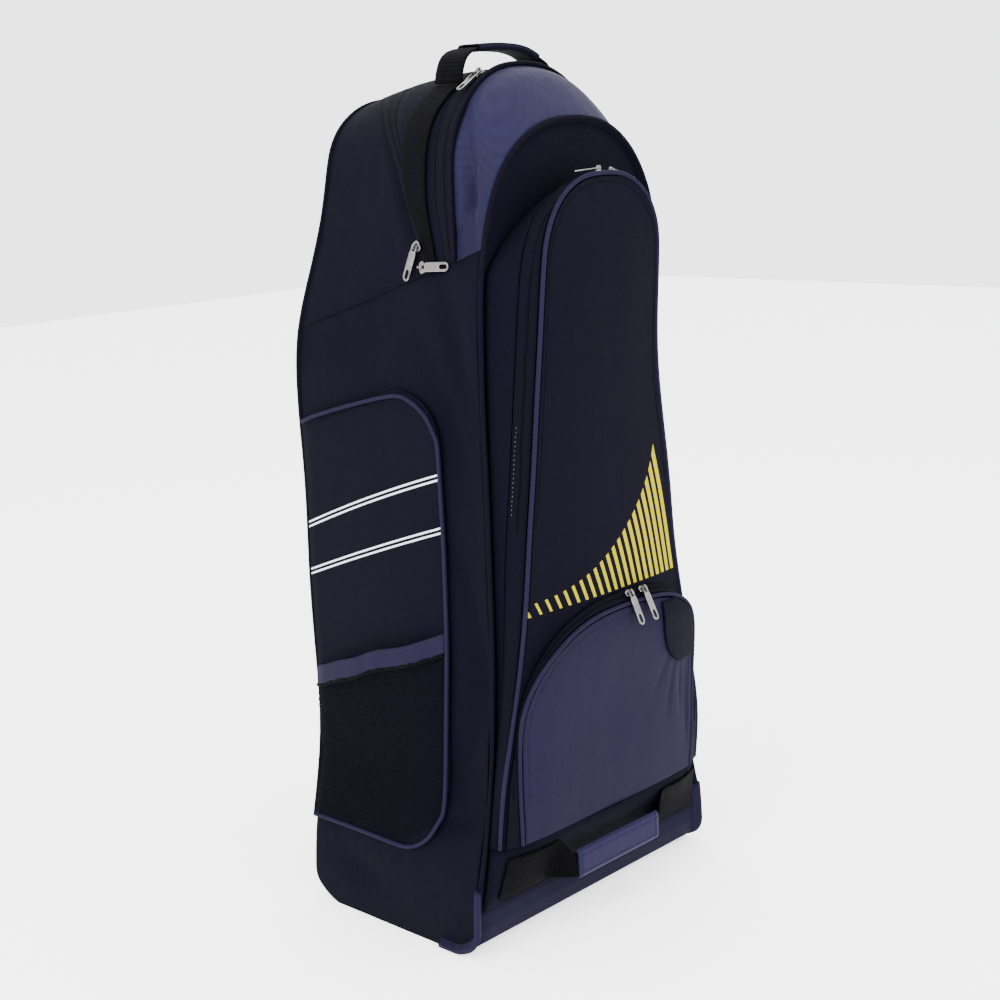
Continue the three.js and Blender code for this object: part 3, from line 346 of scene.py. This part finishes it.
def slump(point):
    """The soft unevenness of the filled bag. It is one smooth field, so that neighbouring pieces
    stay joined, and it dies out at the floor, on the crown and round each zip slider."""
    hold = min(max((point.z - 0.03) / 0.15, 0), 1) * min(max((0.9 - point.z) / 0.1, 0), 1)
    for slider in SLIDERS:
        hold *= 1 - math.exp(-(point - slider).length_squared / HELD_ROUND_SLIDER ** 2)
    if hold < 1e-4:
        return point
    swell = noise.noise_vector(Vector((point.x * 6, point.y * 9, point.z * 5)))
    pull = noise.noise_vector(Vector((point.x * 13 + 7, point.y * 16, point.z * 9)))
    sideways = swell.x * SWELL[0] + pull.x * PULL[0]
    forwards = swell.y * SWELL[1] + pull.y * PULL[1]
    return point + Vector((sideways, forwards, 0)) * hold


BLACK = ((0.0004, 0.0003, 0.0017), (0.0032, 0.0028, 0.0078))
GREY = ((0.0045, 0.0035, 0.0106), (0.0112, 0.0089, 0.0240))
black_cloth = woven("black_cloth", *BLACK, thread=0.0011)
grey_cloth = woven("grey_cloth", *GREY, thread=0.0022, twill=True, roughness=0.7, crease=0.7,
                   slot="grey_cloth")


def sunk(spot, pulls):
    """How far soft folds, each between two spots of a flat side, sink the cloth at a spot. A row of
    pulls gives a fold's start and end, its reach and its depth."""
    sink = 0
    for start_level, start_height, end_level, end_height, reach, depth in pulls:
        start = Vector((start_level, start_height))
        run = Vector((end_level, end_height)) - start
        share = min(max((spot - start).dot(run) / run.length_squared, 0), 1)
        away = (spot - (start + run * share)).length
        crest = math.sin(math.pi * (0.12 + 0.76 * share))
        sink += depth * math.exp(-((away / reach) ** 2)) * crest
    return sink


SIDE_PULLS = [
    # start y, start z, end y, end z, reach, depth
    (-0.075, 0.700, -0.115, 0.560, 0.014, 0.0067),
    (-0.050, 0.640, -0.108, 0.470, 0.017, 0.0058),
    (-0.085, 0.420, -0.120, 0.250, 0.014, 0.0070),
    (-0.118, 0.330, -0.082, 0.180, 0.012, 0.0058),
    (-0.122, 0.150, -0.070, 0.128, 0.011, 0.0064),
    (0.100, 0.620, -0.030, 0.655, 0.022, 0.0051),
    (0.090, 0.060, 0.010, 0.045, 0.020, 0.0048),
]


def side_pulls(point):
    sink = sunk(Vector((point.y, point.z)), SIDE_PULLS)
    return point - Vector((math.copysign(sink, point.x), 0, 0))


for side in ("left", "right"):
    skin(f"side_panel_{side}", f"side_cloth_{side}", 3, black_cloth, dents=side_pulls)
skin("back_panel", "back_cloth", 2, black_cloth)
skin("front_panel", "front_cloth", 2, black_cloth)
skin("back_hood", "hood_cloth", 2, black_cloth)
skin("top_strip", "top_strip_cloth", 2, black_cloth)


# Boot: the slate cloth trough that the bag stands in, with a turned and top-stitched upper hem
# and grey binding over its front corners.
boot_cloth = woven("boot_cloth", (0.0034, 0.0032, 0.0089), (0.0083, 0.0076, 0.0191), thread=0.0012,
                   crease=0.6, slot="grey_cloth")
skin("base_boot", "boot_cloth", 2, boot_cloth, kind="SIMPLE")
for side in ("left", "right"):
    skin(f"binding_base_{side}", f"corner_binding_{side}", 2, grey_cloth, flange=4)


# Crown: a crescent of grey twill with a soft sheen, sewn between the main zip and the front edge,
# and pulled into folds towards its lower ends.
crown_cloth = woven("crown_cloth", (0.0050, 0.0047, 0.0157), (0.0127, 0.0116, 0.0359),
                    thread=0.0026, twill=True, roughness=0.55, sheen=0.03, crease=0.8,
                    slot="grey_cloth")
CROWN_PULLS = [
    # start y, start z, end y, end z, reach, depth
    (-0.070, 0.868, -0.110, 0.770, 0.008, 0.0056),
    (-0.085, 0.830, -0.118, 0.735, 0.006, 0.0060),
    (-0.100, 0.840, -0.102, 0.750, 0.005, 0.0028),
    (-0.112, 0.790, -0.090, 0.742, 0.006, 0.0030),
]
CROWN_TOP_HALF, CROWN_TURN = 0.06, 0.03


def crown_pulls(point):
    if abs(point.x) < CROWN_TOP_HALF:
        return point
    sink = sunk(Vector((point.y, point.z)), CROWN_PULLS)
    flank = min(max((abs(point.x) - CROWN_TOP_HALF) / CROWN_TURN, 0), 1)
    return point - Vector((math.copysign(sink * flank, point.x), 0, 0))


def painted_crown_shade(tree, x, y, z):
    """Painted shade: the twill is painted darker lower down the crown, where its flanks fall away
    from the light.
    """
    return ((0.845 - z) / 0.13).clamp() * 0.62


# The crescent's cloth carries painted shade: a darker colour is laid over the twill lower down the
# crown.
crescent_shaded_cloth = woven("crescent_shaded_cloth", (0.0050, 0.0047, 0.0150), (0.0130, 0.0119, 0.0350),
                       thread=0.0026, twill=True, roughness=0.55, sheen=0.03, slot="grey_cloth",
                       prints_and_painted_shade=[((0.0034, 0.0031, 0.0092), painted_crown_shade)])
skin("crown_panel", "crown_cloth_crescent", 3, crescent_shaded_cloth, dents=crown_pulls)


# Zip bands: black tape folded over a fine coil and sewn between the panels. The gusset of plain
# cloth behind the front zip gives the big pocket its depth.
tape = woven("zip_tape", (0.0008, 0.0007, 0.0022), (0.0030, 0.0028, 0.0063), thread=0.0008,
             crease=0.4)
for band in ("main_zip_tape", "rear_zip_tape", "front_pocket_zip", "lower_pocket_zip"):
    skin(band, band + "_band", 2, tape)
skin("front_pocket_gusset", "front_gusset_cloth", 2, black_cloth)


# Big front pocket: one long black face with a printed fan of slanted yellow bars across its foot.
# The bars stand on one line, lean left, and grow wider and taller towards the right.
BAR_COUNT = 21
BAR_FIRST, BAR_LAST = -0.124, 0.118
BAR_FOOT = 0.361


def bar_mask(tree, x, y, z):
    """Where the bars are: slanted strips between a level foot and a rising crest."""
    across = ((x - BAR_FIRST) / (BAR_LAST - BAR_FIRST)).clamp()
    lean = x + (z - BAR_FOOT) * (0.56 - across * 0.33)
    share = ((lean - BAR_FIRST) / (BAR_LAST - BAR_FIRST)).clamp()
    beat = ((share * 0.74 + share * share * 0.26) * BAR_COUNT).fract()
    width = share * 0.42 + 0.2
    crest = BAR_FOOT + 0.0130 + share ** 2.4 * 0.123 + share ** 14 * 0.02
    inside = (lean > BAR_FIRST - 0.001) * (lean < BAR_LAST) * (z > BAR_FOOT) * (z < crest)
    front = y < -0.1
    return (beat < width) * inside * front


face_cloth = woven("face_cloth", *BLACK, thread=0.0011, crease=0.6,
                   prints_and_painted_shade=[((0.29, 0.25, 0.0001), bar_mask)])
skin("front_pocket_face", "front_face_cloth", 3, face_cloth)


# Lower pocket: grey twill face, puffed over its contents, with a plain dark patch let in at the
# top right corner and short pulls running down from it.
LOWER_PULLS = [
    # start x, start z, end x, end z, reach, depth
    (0.100, 0.262, 0.088, 0.200, 0.0045, 0.0018),
    (0.112, 0.258, 0.116, 0.190, 0.0040, 0.0020),
    (0.086, 0.272, 0.060, 0.225, 0.0050, 0.0013),
    (0.125, 0.250, 0.130, 0.150, 0.0060, 0.0022),
]


def lower_pulls(point):
    return point + Vector((0, sunk(Vector((point.x, point.z)), LOWER_PULLS), 0))


skin("lower_pocket_face", "lower_face_cloth", 3, grey_cloth, dents=lower_pulls)
skin("lower_pocket_patch", "lower_patch_cloth", 2, black_cloth)


# Piping: a cord sewn into a folded strip of cloth, running round every edge and pocket. It is
# black on the bag's own edges and grey round the pockets.
for cord in ("front_edge", "back_edge", "crown"):
    skin(f"piping_{cord}", f"cord_{cord}", 2, black_cloth, flange=4)
for cord in ("front_pocket", "lower_pocket"):
    skin(f"piping_{cord}", f"cord_{cord}", 2, grey_cloth)


TUCKED_FROM = 0.12


def tucked(point):
    """The rear end of a side pocket's piping or binding, drawn in under the back edge."""
    if point.y < TUCKED_FROM:
        return point
    return Vector((point.x, TUCKED_FROM + (point.y - TUCKED_FROM) * 0.8, point.z))


for side in ("left", "right"):
    skin(f"piping_side_pocket_{side}", f"cord_side_pocket_{side}", 2, grey_cloth, dents=tucked)


# Side pockets: a flat black panel with two pairs of white lines, and over its foot a pouch of
# black knotted net under a wide grey binding.
LINE_APART, LINE_HALF, POCKET_FRONT = 0.0026, 0.00105, -0.0665


def stripe(middle, fall, bend, level):
    """Two thin lines side by side, which rise towards the front in a shallow curve."""
    def mask(tree, x, y, z):
        back = y - middle
        away = ((z - level) + back * fall + back * back * bend).abs()
        return ((away - LINE_APART).abs() < LINE_HALF) * (x.abs() > 0.1) * (y > POCKET_FRONT)
    return mask


WHITE = (0.55, 0.58, 0.63)
pocket_cloth = woven("pocket_cloth", *BLACK, thread=0.0011, crease=0.5, prints_and_painted_shade=[
    (WHITE, stripe(0.038, 0.365, 0.27, 0.466)),
    (WHITE, stripe(0.041, 0.355, 0.15, 0.409)),
])
net_thread = woven("net_thread", (0.0020, 0.0019, 0.0029), (0.0050, 0.0048, 0.0069), thread=0.0009,
                   crease=0.0, slot="net")


def line_tree(name, sizes):
    """An empty tree for what follows a line: its group, its inputs' identifiers by name, its first
    node, the line as a curve, and its last two nodes, which make the result real and coloured."""
    tree = bpy.data.node_groups.new(name, "GeometryNodeTree")
    sockets = tree.interface.new_socket
    sockets("Geometry", in_out="INPUT", socket_type="NodeSocketGeometry")
    inputs = {}
    for size, kind in [(size, "Float") for size in sizes] + [("Material", "Material")]:
        inputs[size] = sockets(size, in_out="INPUT", socket_type="NodeSocket" + kind).identifier
    sockets("Geometry", in_out="OUTPUT", socket_type="NodeSocketGeometry")
    enter = tree.nodes.new("NodeGroupInput")
    curve = tree.nodes.new("GeometryNodeMeshToCurve")
    real = tree.nodes.new("GeometryNodeRealizeInstances")
    paint = tree.nodes.new("GeometryNodeSetMaterial")
    tree.links.new(enter.outputs["Geometry"], curve.inputs["Mesh"])
    tree.links.new(real.outputs["Geometry"], paint.inputs["Geometry"])
    tree.links.new(enter.outputs["Material"], paint.inputs["Material"])
    tree.links.new(paint.outputs["Geometry"], tree.nodes.new("NodeGroupOutput").inputs["Geometry"])
    return tree, inputs, enter.outputs, curve, real


def run_tree(piece, tree, inputs, values):
    """Runs a tree on a piece with its sizes and material, and keeps the plain mesh."""
    modifier = piece.modifiers.new("threads", "NODES")
    modifier.node_group = tree
    for key, value in values.items():
        modifier[inputs[key]] = value
    apply_modifiers(piece)


def net_tree():
    """Turns the edges of a flat net into thin three-sided threads."""
    tree, inputs, given, curve, real = line_tree("knotted_net", ["Radius"])
    profile = tree.nodes.new("GeometryNodeCurvePrimitiveCircle")
    profile.inputs["Resolution"].default_value = 3
    sweep = tree.nodes.new("GeometryNodeCurveToMesh")
    tree.links.new(given["Radius"], profile.inputs["Radius"])
    tree.links.new(curve.outputs["Curve"], sweep.inputs["Curve"])
    tree.links.new(profile.outputs["Curve"], sweep.inputs["Profile Curve"])
    tree.links.new(sweep.outputs["Mesh"], real.inputs["Geometry"])
    return tree, inputs


NET_PITCH, NET_THREAD = 0.0036, 0.00034
NET_COLUMN, NET_ROW = 0.5, 0.29  # shares of the pitch
net_nodes, net_inputs = net_tree()


def net_piece(side, sign):
    """The pouch's net: a honeycomb of knots on the pouch's outer face, joined by threads."""
    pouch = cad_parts[f"side_mesh_{side}"]
    surface = BVHTree.FromObject(pouch, bpy.context.evaluated_depsgraph_get())
    low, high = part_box(f"side_mesh_{side}")
    points = {}
    edges = []
    places = []

    def knot(column, row):
        key = (column, row)
        if key not in points:
            y = low[1] + column * NET_PITCH * NET_COLUMN
            z = low[2] + row * NET_PITCH * NET_ROW
            hit = surface.ray_cast(Vector((sign * 0.3, y, z)), Vector((-sign, 0, 0)))[0]
            points[key] = None
            if hit:
                ripple = noise.noise(Vector((y * 26, z * 13, 3))) * 0.0016
                points[key] = len(places)
                places.append(slump(hit - Vector((sign * (0.0006 + ripple), 0, 0))))
        return points[key]

    columns = int((high[1] - low[1]) / (NET_PITCH * NET_COLUMN)) + 1
    rows = int((high[2] - low[2]) / (NET_PITCH * NET_ROW)) + 1
    for row in range(0, rows, 3):
        shift = (row // 3) % 2
        for column in range(shift, columns, 2):
            upper = knot(column, row + 2)
            lower = knot(column, row)
            left_knot = knot(column - 1, row - 1)
            right_knot = knot(column + 1, row - 1)
            for start, end in ((lower, upper), (lower, left_knot), (lower, right_knot)):
                if start is not None and end is not None:
                    edges.append((start, end))
    mesh = bpy.data.meshes.new(f"net_{side}")
    mesh.from_pydata(places, edges, [])
    piece = placed(f"pocket_net_{side}", mesh)
    run_tree(piece, net_nodes, net_inputs, {"Radius": NET_THREAD, "Material": net_thread})
    dress(piece, net_thread)
    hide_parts(f"side_mesh_{side}")


def binding_waves(point):
    """The elastic in the binding gathers it, so it ripples in and out and up and down."""
    bulge = noise.noise(Vector((point.y * 30, point.z * 12, 0))) * 0.0022
    rise = noise.noise(Vector((point.y * 22, 5, 0))) * 0.0035
    return tucked(point) + Vector((math.copysign(bulge, point.x), 0, rise))


for side, sign in (("left", -1), ("right", 1)):
    skin(f"side_pocket_panel_{side}", f"pocket_cloth_{side}", 2, pocket_cloth)
    net_piece(side, sign)
    skin(f"mesh_binding_{side}", f"pocket_binding_{side}", 3, grey_cloth, dents=binding_waves)


# Foot band and foot handle: black cloth under a wide ribbed webbing that is sewn down at both
# ends and lifts off in the middle, where a grey cloth grip is wrapped round it.
RIB_PITCH = 0.0030
CROWN_CENTRE, CROWN_RIBS = 0.62, 720.0


def ribs_across_x(tree, x, y, z):
    return (x * (2 * math.pi / RIB_PITCH)).sin()


def ribs_round_crown(tree, x, y, z):
    turn = node(tree, "ShaderNodeMath", {"operation": "ARCTAN2"}, x.abs(), z - CROWN_CENTRE)
    return (turn * CROWN_RIBS).sin()


foot_webbing = woven("foot_webbing", (0.0004, 0.0004, 0.0008), (0.0019, 0.0018, 0.0028),
                     thread=0.0010, crease=0.0, ribs=ribs_across_x, slot="webbing")
crown_webbing = woven("crown_webbing", (0.0004, 0.0004, 0.0009), (0.0023, 0.0022, 0.0037),
                      thread=0.0010, crease=0.0, ribs=ribs_round_crown, slot="webbing")
skin("base_band", "foot_band_cloth", 2, black_cloth)
skin("bottom_handle_webbing", "foot_handle_webbing", 3, foot_webbing)
foot_grip = skin("bottom_handle_wrap", "foot_handle_grip", 3, crown_cloth)


# Top handle: black webbing sewn down over the crown on both sides and looped up between, where
# a padded slate grip is wrapped round it.
grip_cloth = woven("grip_cloth", (0.0017, 0.0016, 0.0053), (0.0056, 0.0051, 0.0135), thread=0.0012,
                   crease=0.6, slot="grey_cloth")
for side in ("left", "right"):
    skin(f"top_webbing_{side}", f"crown_webbing_{side}", 2, crown_webbing)
skin("top_handle_webbing", "top_handle_strap", 2, crown_webbing)
top_grip = skin("top_handle_wrap", "top_handle_grip", 3, grip_cloth)


# Stitches and zip coils: seams are topstitched with thick thread beside the piping and along the
# hems, and each zip closes on a fine nylon coil. Both are rows of small beads laid on the cloth.
def row_tree():
    """Lays one short six-sided bead after another along a line, as stitches or as a zip's coil."""
    tree, inputs, given, curve, real = line_tree("thread_row", ["Pitch", "Length", "Radius"])
    spaced = tree.nodes.new("GeometryNodeResampleCurve")
    spaced.mode = "LENGTH"
    points = tree.nodes.new("GeometryNodeInstanceOnPoints")
    tangent = tree.nodes.new("GeometryNodeInputTangent")
    turned = tree.nodes.new("FunctionNodeAlignRotationToVector")
    bead = tree.nodes.new("GeometryNodeMeshCylinder")
    bead.inputs["Vertices"].default_value = 6
    join = tree.links.new
    join(curve.outputs["Curve"], spaced.inputs["Curve"])
    join(given["Pitch"], spaced.inputs["Length"])
    join(given["Length"], bead.inputs["Depth"])
    join(given["Radius"], bead.inputs["Radius"])
    join(spaced.outputs["Curve"], points.inputs["Points"])
    join(bead.outputs["Mesh"], points.inputs["Instance"])
    join(tangent.outputs["Tangent"], turned.inputs["Vector"])
    join(turned.outputs["Rotation"], points.inputs["Rotation"])
    join(points.outputs["Instances"], real.inputs["Geometry"])
    return tree, inputs


row_nodes, row_inputs = row_tree()


def thread_row(name, line, material, pitch, length, radius):
    mesh = bpy.data.meshes.new(name)
    mesh.from_pydata(line, [(index, index + 1) for index in range(len(line) - 1)], [])
    piece = placed(name, mesh)
    run_tree(piece, row_nodes, row_inputs,
             {"Pitch": pitch, "Length": length, "Radius": radius, "Material": material})
    dress(piece, material)


dark_thread = woven("dark_thread", (0.0007, 0.0007, 0.0013), (0.0025, 0.0024, 0.0040),
                    thread=0.0006, crease=0.0)
slate_thread = woven("slate_thread", (0.0066, 0.0061, 0.0158), (0.0158, 0.0145, 0.0343),
                     thread=0.0006, crease=0.0, slot="grey_cloth")
pale_thread = woven("pale_thread", (0.07, 0.07, 0.08), (0.17, 0.17, 0.19), thread=0.0006,
                    crease=0.0, slot="webbing")
STITCH = {"pitch": 0.0034, "length": 0.0025, "radius": 0.00028}
COIL = {"pitch": 0.0017, "length": 0.0010, "radius": 0.0013}
STITCH_LIFT, COIL_LIFT = 0.0002, -0.0006
SEARCH_STEP, RAY_BACK, RAY_LENGTH = 0.0015, 0.3, 0.6
INWARD = Vector((0, 1, 0))


def cloth_of(*names):
    """One search tree over the finished cloth of several pieces."""
    corners, faces = [], []
    for name in names:
        mesh = bpy.data.objects[name].data
        shift = len(corners)
        corners += [vertex.co for vertex in mesh.vertices]
        faces += [[index + shift for index in face.vertices] for face in mesh.polygons]
    return BVHTree.FromPolygons(corners, faces)


def met(cloth, aim, point):
    """Where a ray through a point first meets the cloth, or None."""
    return cloth.ray_cast(point - aim * RAY_BACK, aim, RAY_LENGTH)[0]


def laid(cloth, line, aim):
    """The spots where rays along one direction meet the cloth, a little above it."""
    spots = []
    for point in line:
        hit = met(cloth, aim, point)
        if hit:
            spots.append(hit - aim * STITCH_LIFT)
    return spots


def fan(level, start, end, count):
    """Directions that turn upright from a level one, between two angles in degrees."""
    for index in range(count + 1):
        angle = math.radians(start + (end - start) * index / count)
        yield level * math.cos(angle) + Vector((0, 0, 1)) * math.sin(angle)


def inside_rim(cloth, aim, middle, inset, spokes):
    """A line that follows the rim of a piece at a fixed distance inside it, seen along a ray."""
    line = []
    for spoke in spokes:
        reach = 0.6
        while reach > 0.02 and not met(cloth, aim, middle + spoke * reach):
            reach -= SEARCH_STEP
        line.append(middle + spoke * (reach - inset))
    return laid(cloth, eased_line(line, 2), aim)


def eased_line(line, passes=6):
    for _ in range(passes):
        line = line[:1] + [(line[index - 1] + line[index] * 2 + line[index + 1]) / 4
                           for index in range(1, len(line) - 1)] + line[-1:]
    return line


def along_band(cloth, aim, middle, spokes, near, far, lift, share=0.5):
    """A line at a share of the width of a zip band that runs round a pocket, seen along a ray."""
    line = []
    for spoke in spokes:
        hits = []
        reach = near
        while reach < far:
            hit = met(cloth, aim, middle + spoke * reach)
            if hit:
                hits.append(hit)
            reach += SEARCH_STEP
        if hits:
            line.append(hits[min(int(len(hits) * share), len(hits) - 1)] - aim * lift)
    return eased_line(line)


def level_run(start, end, height, count):
    """Spots along a level line across the bag."""
    return [Vector((start + (end - start) * step / count, 0, height)) for step in range(count + 1)]


ACROSS = Vector((1, 0, 0))
lower_middle = Vector((0.02, 0, 0.16))
front_middle = Vector((0, 0, 0.55))
thread_row("lower_pocket_topstitch",
           inside_rim(cloth_of("lower_face_cloth"), INWARD, lower_middle, 0.007,
                      fan(ACROSS, 2, 178, 90)), slate_thread, **STITCH)
thread_row("front_pocket_topstitch",
           inside_rim(cloth_of("front_face_cloth"), INWARD, front_middle, 0.005,
                      fan(ACROSS, -40, 220, 160)), dark_thread, **STITCH)
boot = cloth_of("boot_cloth")
for end, aim, height in (("front", INWARD, 0.044), ("back", -INWARD, 0.088)):
    thread_row(f"boot_hem_{end}", laid(boot, level_run(-0.165, 0.165, height, 60), aim),
               slate_thread, **STITCH)
band = cloth_of("foot_band_cloth", "foot_handle_webbing")
band_low, band_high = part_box("base_band")
for edge, height in (("upper", band_high[2] - 0.005), ("lower", band_low[2] + 0.004)):
    thread_row(f"foot_band_{edge}_stitch",
               laid(band, level_run(-0.155, 0.155, height, 60), INWARD), dark_thread, **STITCH)

foot_grip_cloth = cloth_of("foot_handle_grip")
grip_low, grip_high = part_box("bottom_handle_wrap")
for side, sign in (("left", -1), ("right", 1)):
    outward = Vector((sign, 0, 0))
    pocket = cloth_of(f"pocket_cloth_{side}")
    thread_row(f"pocket_topstitch_{side}",
               inside_rim(pocket, -outward, Vector((0, 0.03, 0.42)), 0.005,
                          fan(Vector((0, 1, 0)), 178, 60, 60)), dark_thread, **STITCH)
    binding = cloth_of(f"pocket_binding_{side}")
    roll = []
    for step in range(53):
        hits = [binding.ray_cast(Vector((sign * 0.3, -0.066 + 0.004 * step, height * 0.001)),
                                 -outward, 0.25)[0] for height in range(230, 350, 2)]
        hits = [hit for hit in hits if hit]
        if hits:
            roll.append(hits[0] - Vector((sign * 0.0012, 0, 0.0022)))
    thread_row(f"net_hem_{side}", roll, dark_thread, pitch=0.0029, length=0.0026, radius=0.0023)
    end_x = grip_low[0] + 0.005 if side == "left" else grip_high[0] - 0.005
    hem_foot, hem_height = grip_low[2] + 0.003, grip_high[2] - grip_low[2] - 0.006
    hem = [Vector((end_x, 0, hem_foot + hem_height * step / 12)) for step in range(13)]
    thread_row(f"foot_grip_hem_{side}", laid(foot_grip_cloth, hem, INWARD), slate_thread, **STITCH)
seam_z = (grip_low[2] + grip_high[2]) / 2
for row, height in (("upper", seam_z + 0.009), ("lower", seam_z - 0.010)):
    run = level_run(grip_low[0] + 0.004, grip_high[0] - 0.004, height, 30)
    thread_row(f"foot_grip_{row}_seam", laid(foot_grip_cloth, run, INWARD), slate_thread, **STITCH)

front_zip = cloth_of("front_pocket_zip_band")
thread_row("front_zip_coil",
           along_band(front_zip, INWARD, front_middle, fan(ACROSS, -38, 218, 200), near=0.06,
                      far=0.45, lift=COIL_LIFT), dark_thread, **COIL)
thread_row("lower_zip_coil",
           along_band(cloth_of("lower_pocket_zip_band"), INWARD, lower_middle,
                      fan(ACROSS, 4, 176, 110), near=0.05, far=0.30, lift=COIL_LIFT),
           dark_thread, **COIL)
tacks = along_band(front_zip, INWARD, front_middle, fan(ACROSS, 160, 212, 60), near=0.06,
                   far=0.45, lift=0.0001, share=0.85)
thread_row("front_zip_tacks", tacks[20:], pale_thread, pitch=0.0046, length=0.0012, radius=0.00024)


CROWN_FRONT, CROWN_STEP, CROWN_LEVEL = -0.16, 0.0026, 0.72


def over_crown(cloth):
    """The middle of a zip that runs over the crown, met by rays from all round it."""
    line = []
    for spoke in fan(ACROSS, 4, 176, 110):
        hits = []
        for step in range(120):
            centre = Vector((0, CROWN_FRONT + CROWN_STEP * step, CROWN_LEVEL))
            hit = cloth.ray_cast(centre + spoke * 0.5, -spoke, 0.5)[0]
            if hit:
                hits.append(hit)
        if hits:
            line.append(hits[len(hits) // 2] + spoke * COIL_LIFT)
    return eased_line(line)


for zip_name in ("main", "rear"):
    thread_row(f"{zip_name}_zip_coil", over_crown(cloth_of(f"{zip_name}_zip_tape_band")),
               dark_thread, **COIL)


# Zip sliders and pull tabs: cast zinc, plated with bright nickel, with softly rounded edges. Each
# slider sits on its coil, and its tab swings on the slider's bridge.
nickel, nickel_tree, nickel_shader = new_material("nickel", (0.6, 0.6, 0.6))
nickel_place, _ = place(nickel_tree)
nickel_cloud = mottle(nickel_tree, nickel_place, 90, 3, 0.6)
nickel_wear = mottle(nickel_tree, nickel_place, 420, 2, 0.5)
nickel_bump = node(nickel_tree, "ShaderNodeBump", {}, Strength=0.4, Distance=0.0012,
                   Height=nickel_cloud)
feed(nickel, nickel_shader,
     Base_Color=colour_mix(nickel_tree, nickel_cloud, (0.020, 0.020, 0.024), (0.30, 0.29, 0.28)),
     Roughness=(nickel_wear * 0.16 + 0.16).clamp(), Normal=nickel_bump)
nickel_shader.inputs["Metallic"].default_value = 1


EDGE_ROUNDING = 0.0003


def casting(source, name, body):
    """A plated casting: the solid's flat faces joined again and its edges rounded."""
    work = solid_copy(source)
    bmesh.ops.dissolve_limit(work, angle_limit=0.03, verts=work.verts, edges=work.edges)
    mesh = bpy.data.meshes.new(name)
    freed(work, mesh)
    piece = placed(name, mesh)
    bevel = piece.modifiers.new("rounded", "BEVEL")
    bevel.width = EDGE_ROUNDING
    bevel.segments = 2
    bevel.limit_method = "ANGLE"
    bevel.angle_limit = math.radians(40)
    apply_modifiers(piece)
    dress(piece, nickel, body)
    for edge in piece.data.edges:
        edge.use_edge_sharp = False
    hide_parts(source)


for end in ZIP_ENDS:
    casting(f"zip_slider_{end}", f"slider_{end}", "bag")
    casting(f"zip_pull_{end}", f"pull_tab_{end}", "pull_" + end)


# Floor: one plain pale sheet. It gives off a little light of its own, as a studio's lit paper
# does, so that it stays nearly white under the bag.
FLOOR_HALF = 6
floor_mesh = bpy.data.meshes.new("floor")
floor_corners = [(-FLOOR_HALF, -FLOOR_HALF, 0), (FLOOR_HALF, -FLOOR_HALF, 0),
                 (FLOOR_HALF, FLOOR_HALF, 0), (-FLOOR_HALF, FLOOR_HALF, 0)]
floor_mesh.from_pydata(floor_corners, [], [(0, 1, 2, 3)])
floor = placed("floor", floor_mesh)
floor_material, _, floor_shader = new_material("pale_floor", (0.9, 0.9, 0.9))
feed(floor_material, floor_shader, Base_Color=(0.86, 0.86, 0.87, 1), Roughness=0.6,
     Emission_Color=(1, 1, 1, 1), Emission_Strength=1.5)
floor_mesh.materials.append(floor_material)
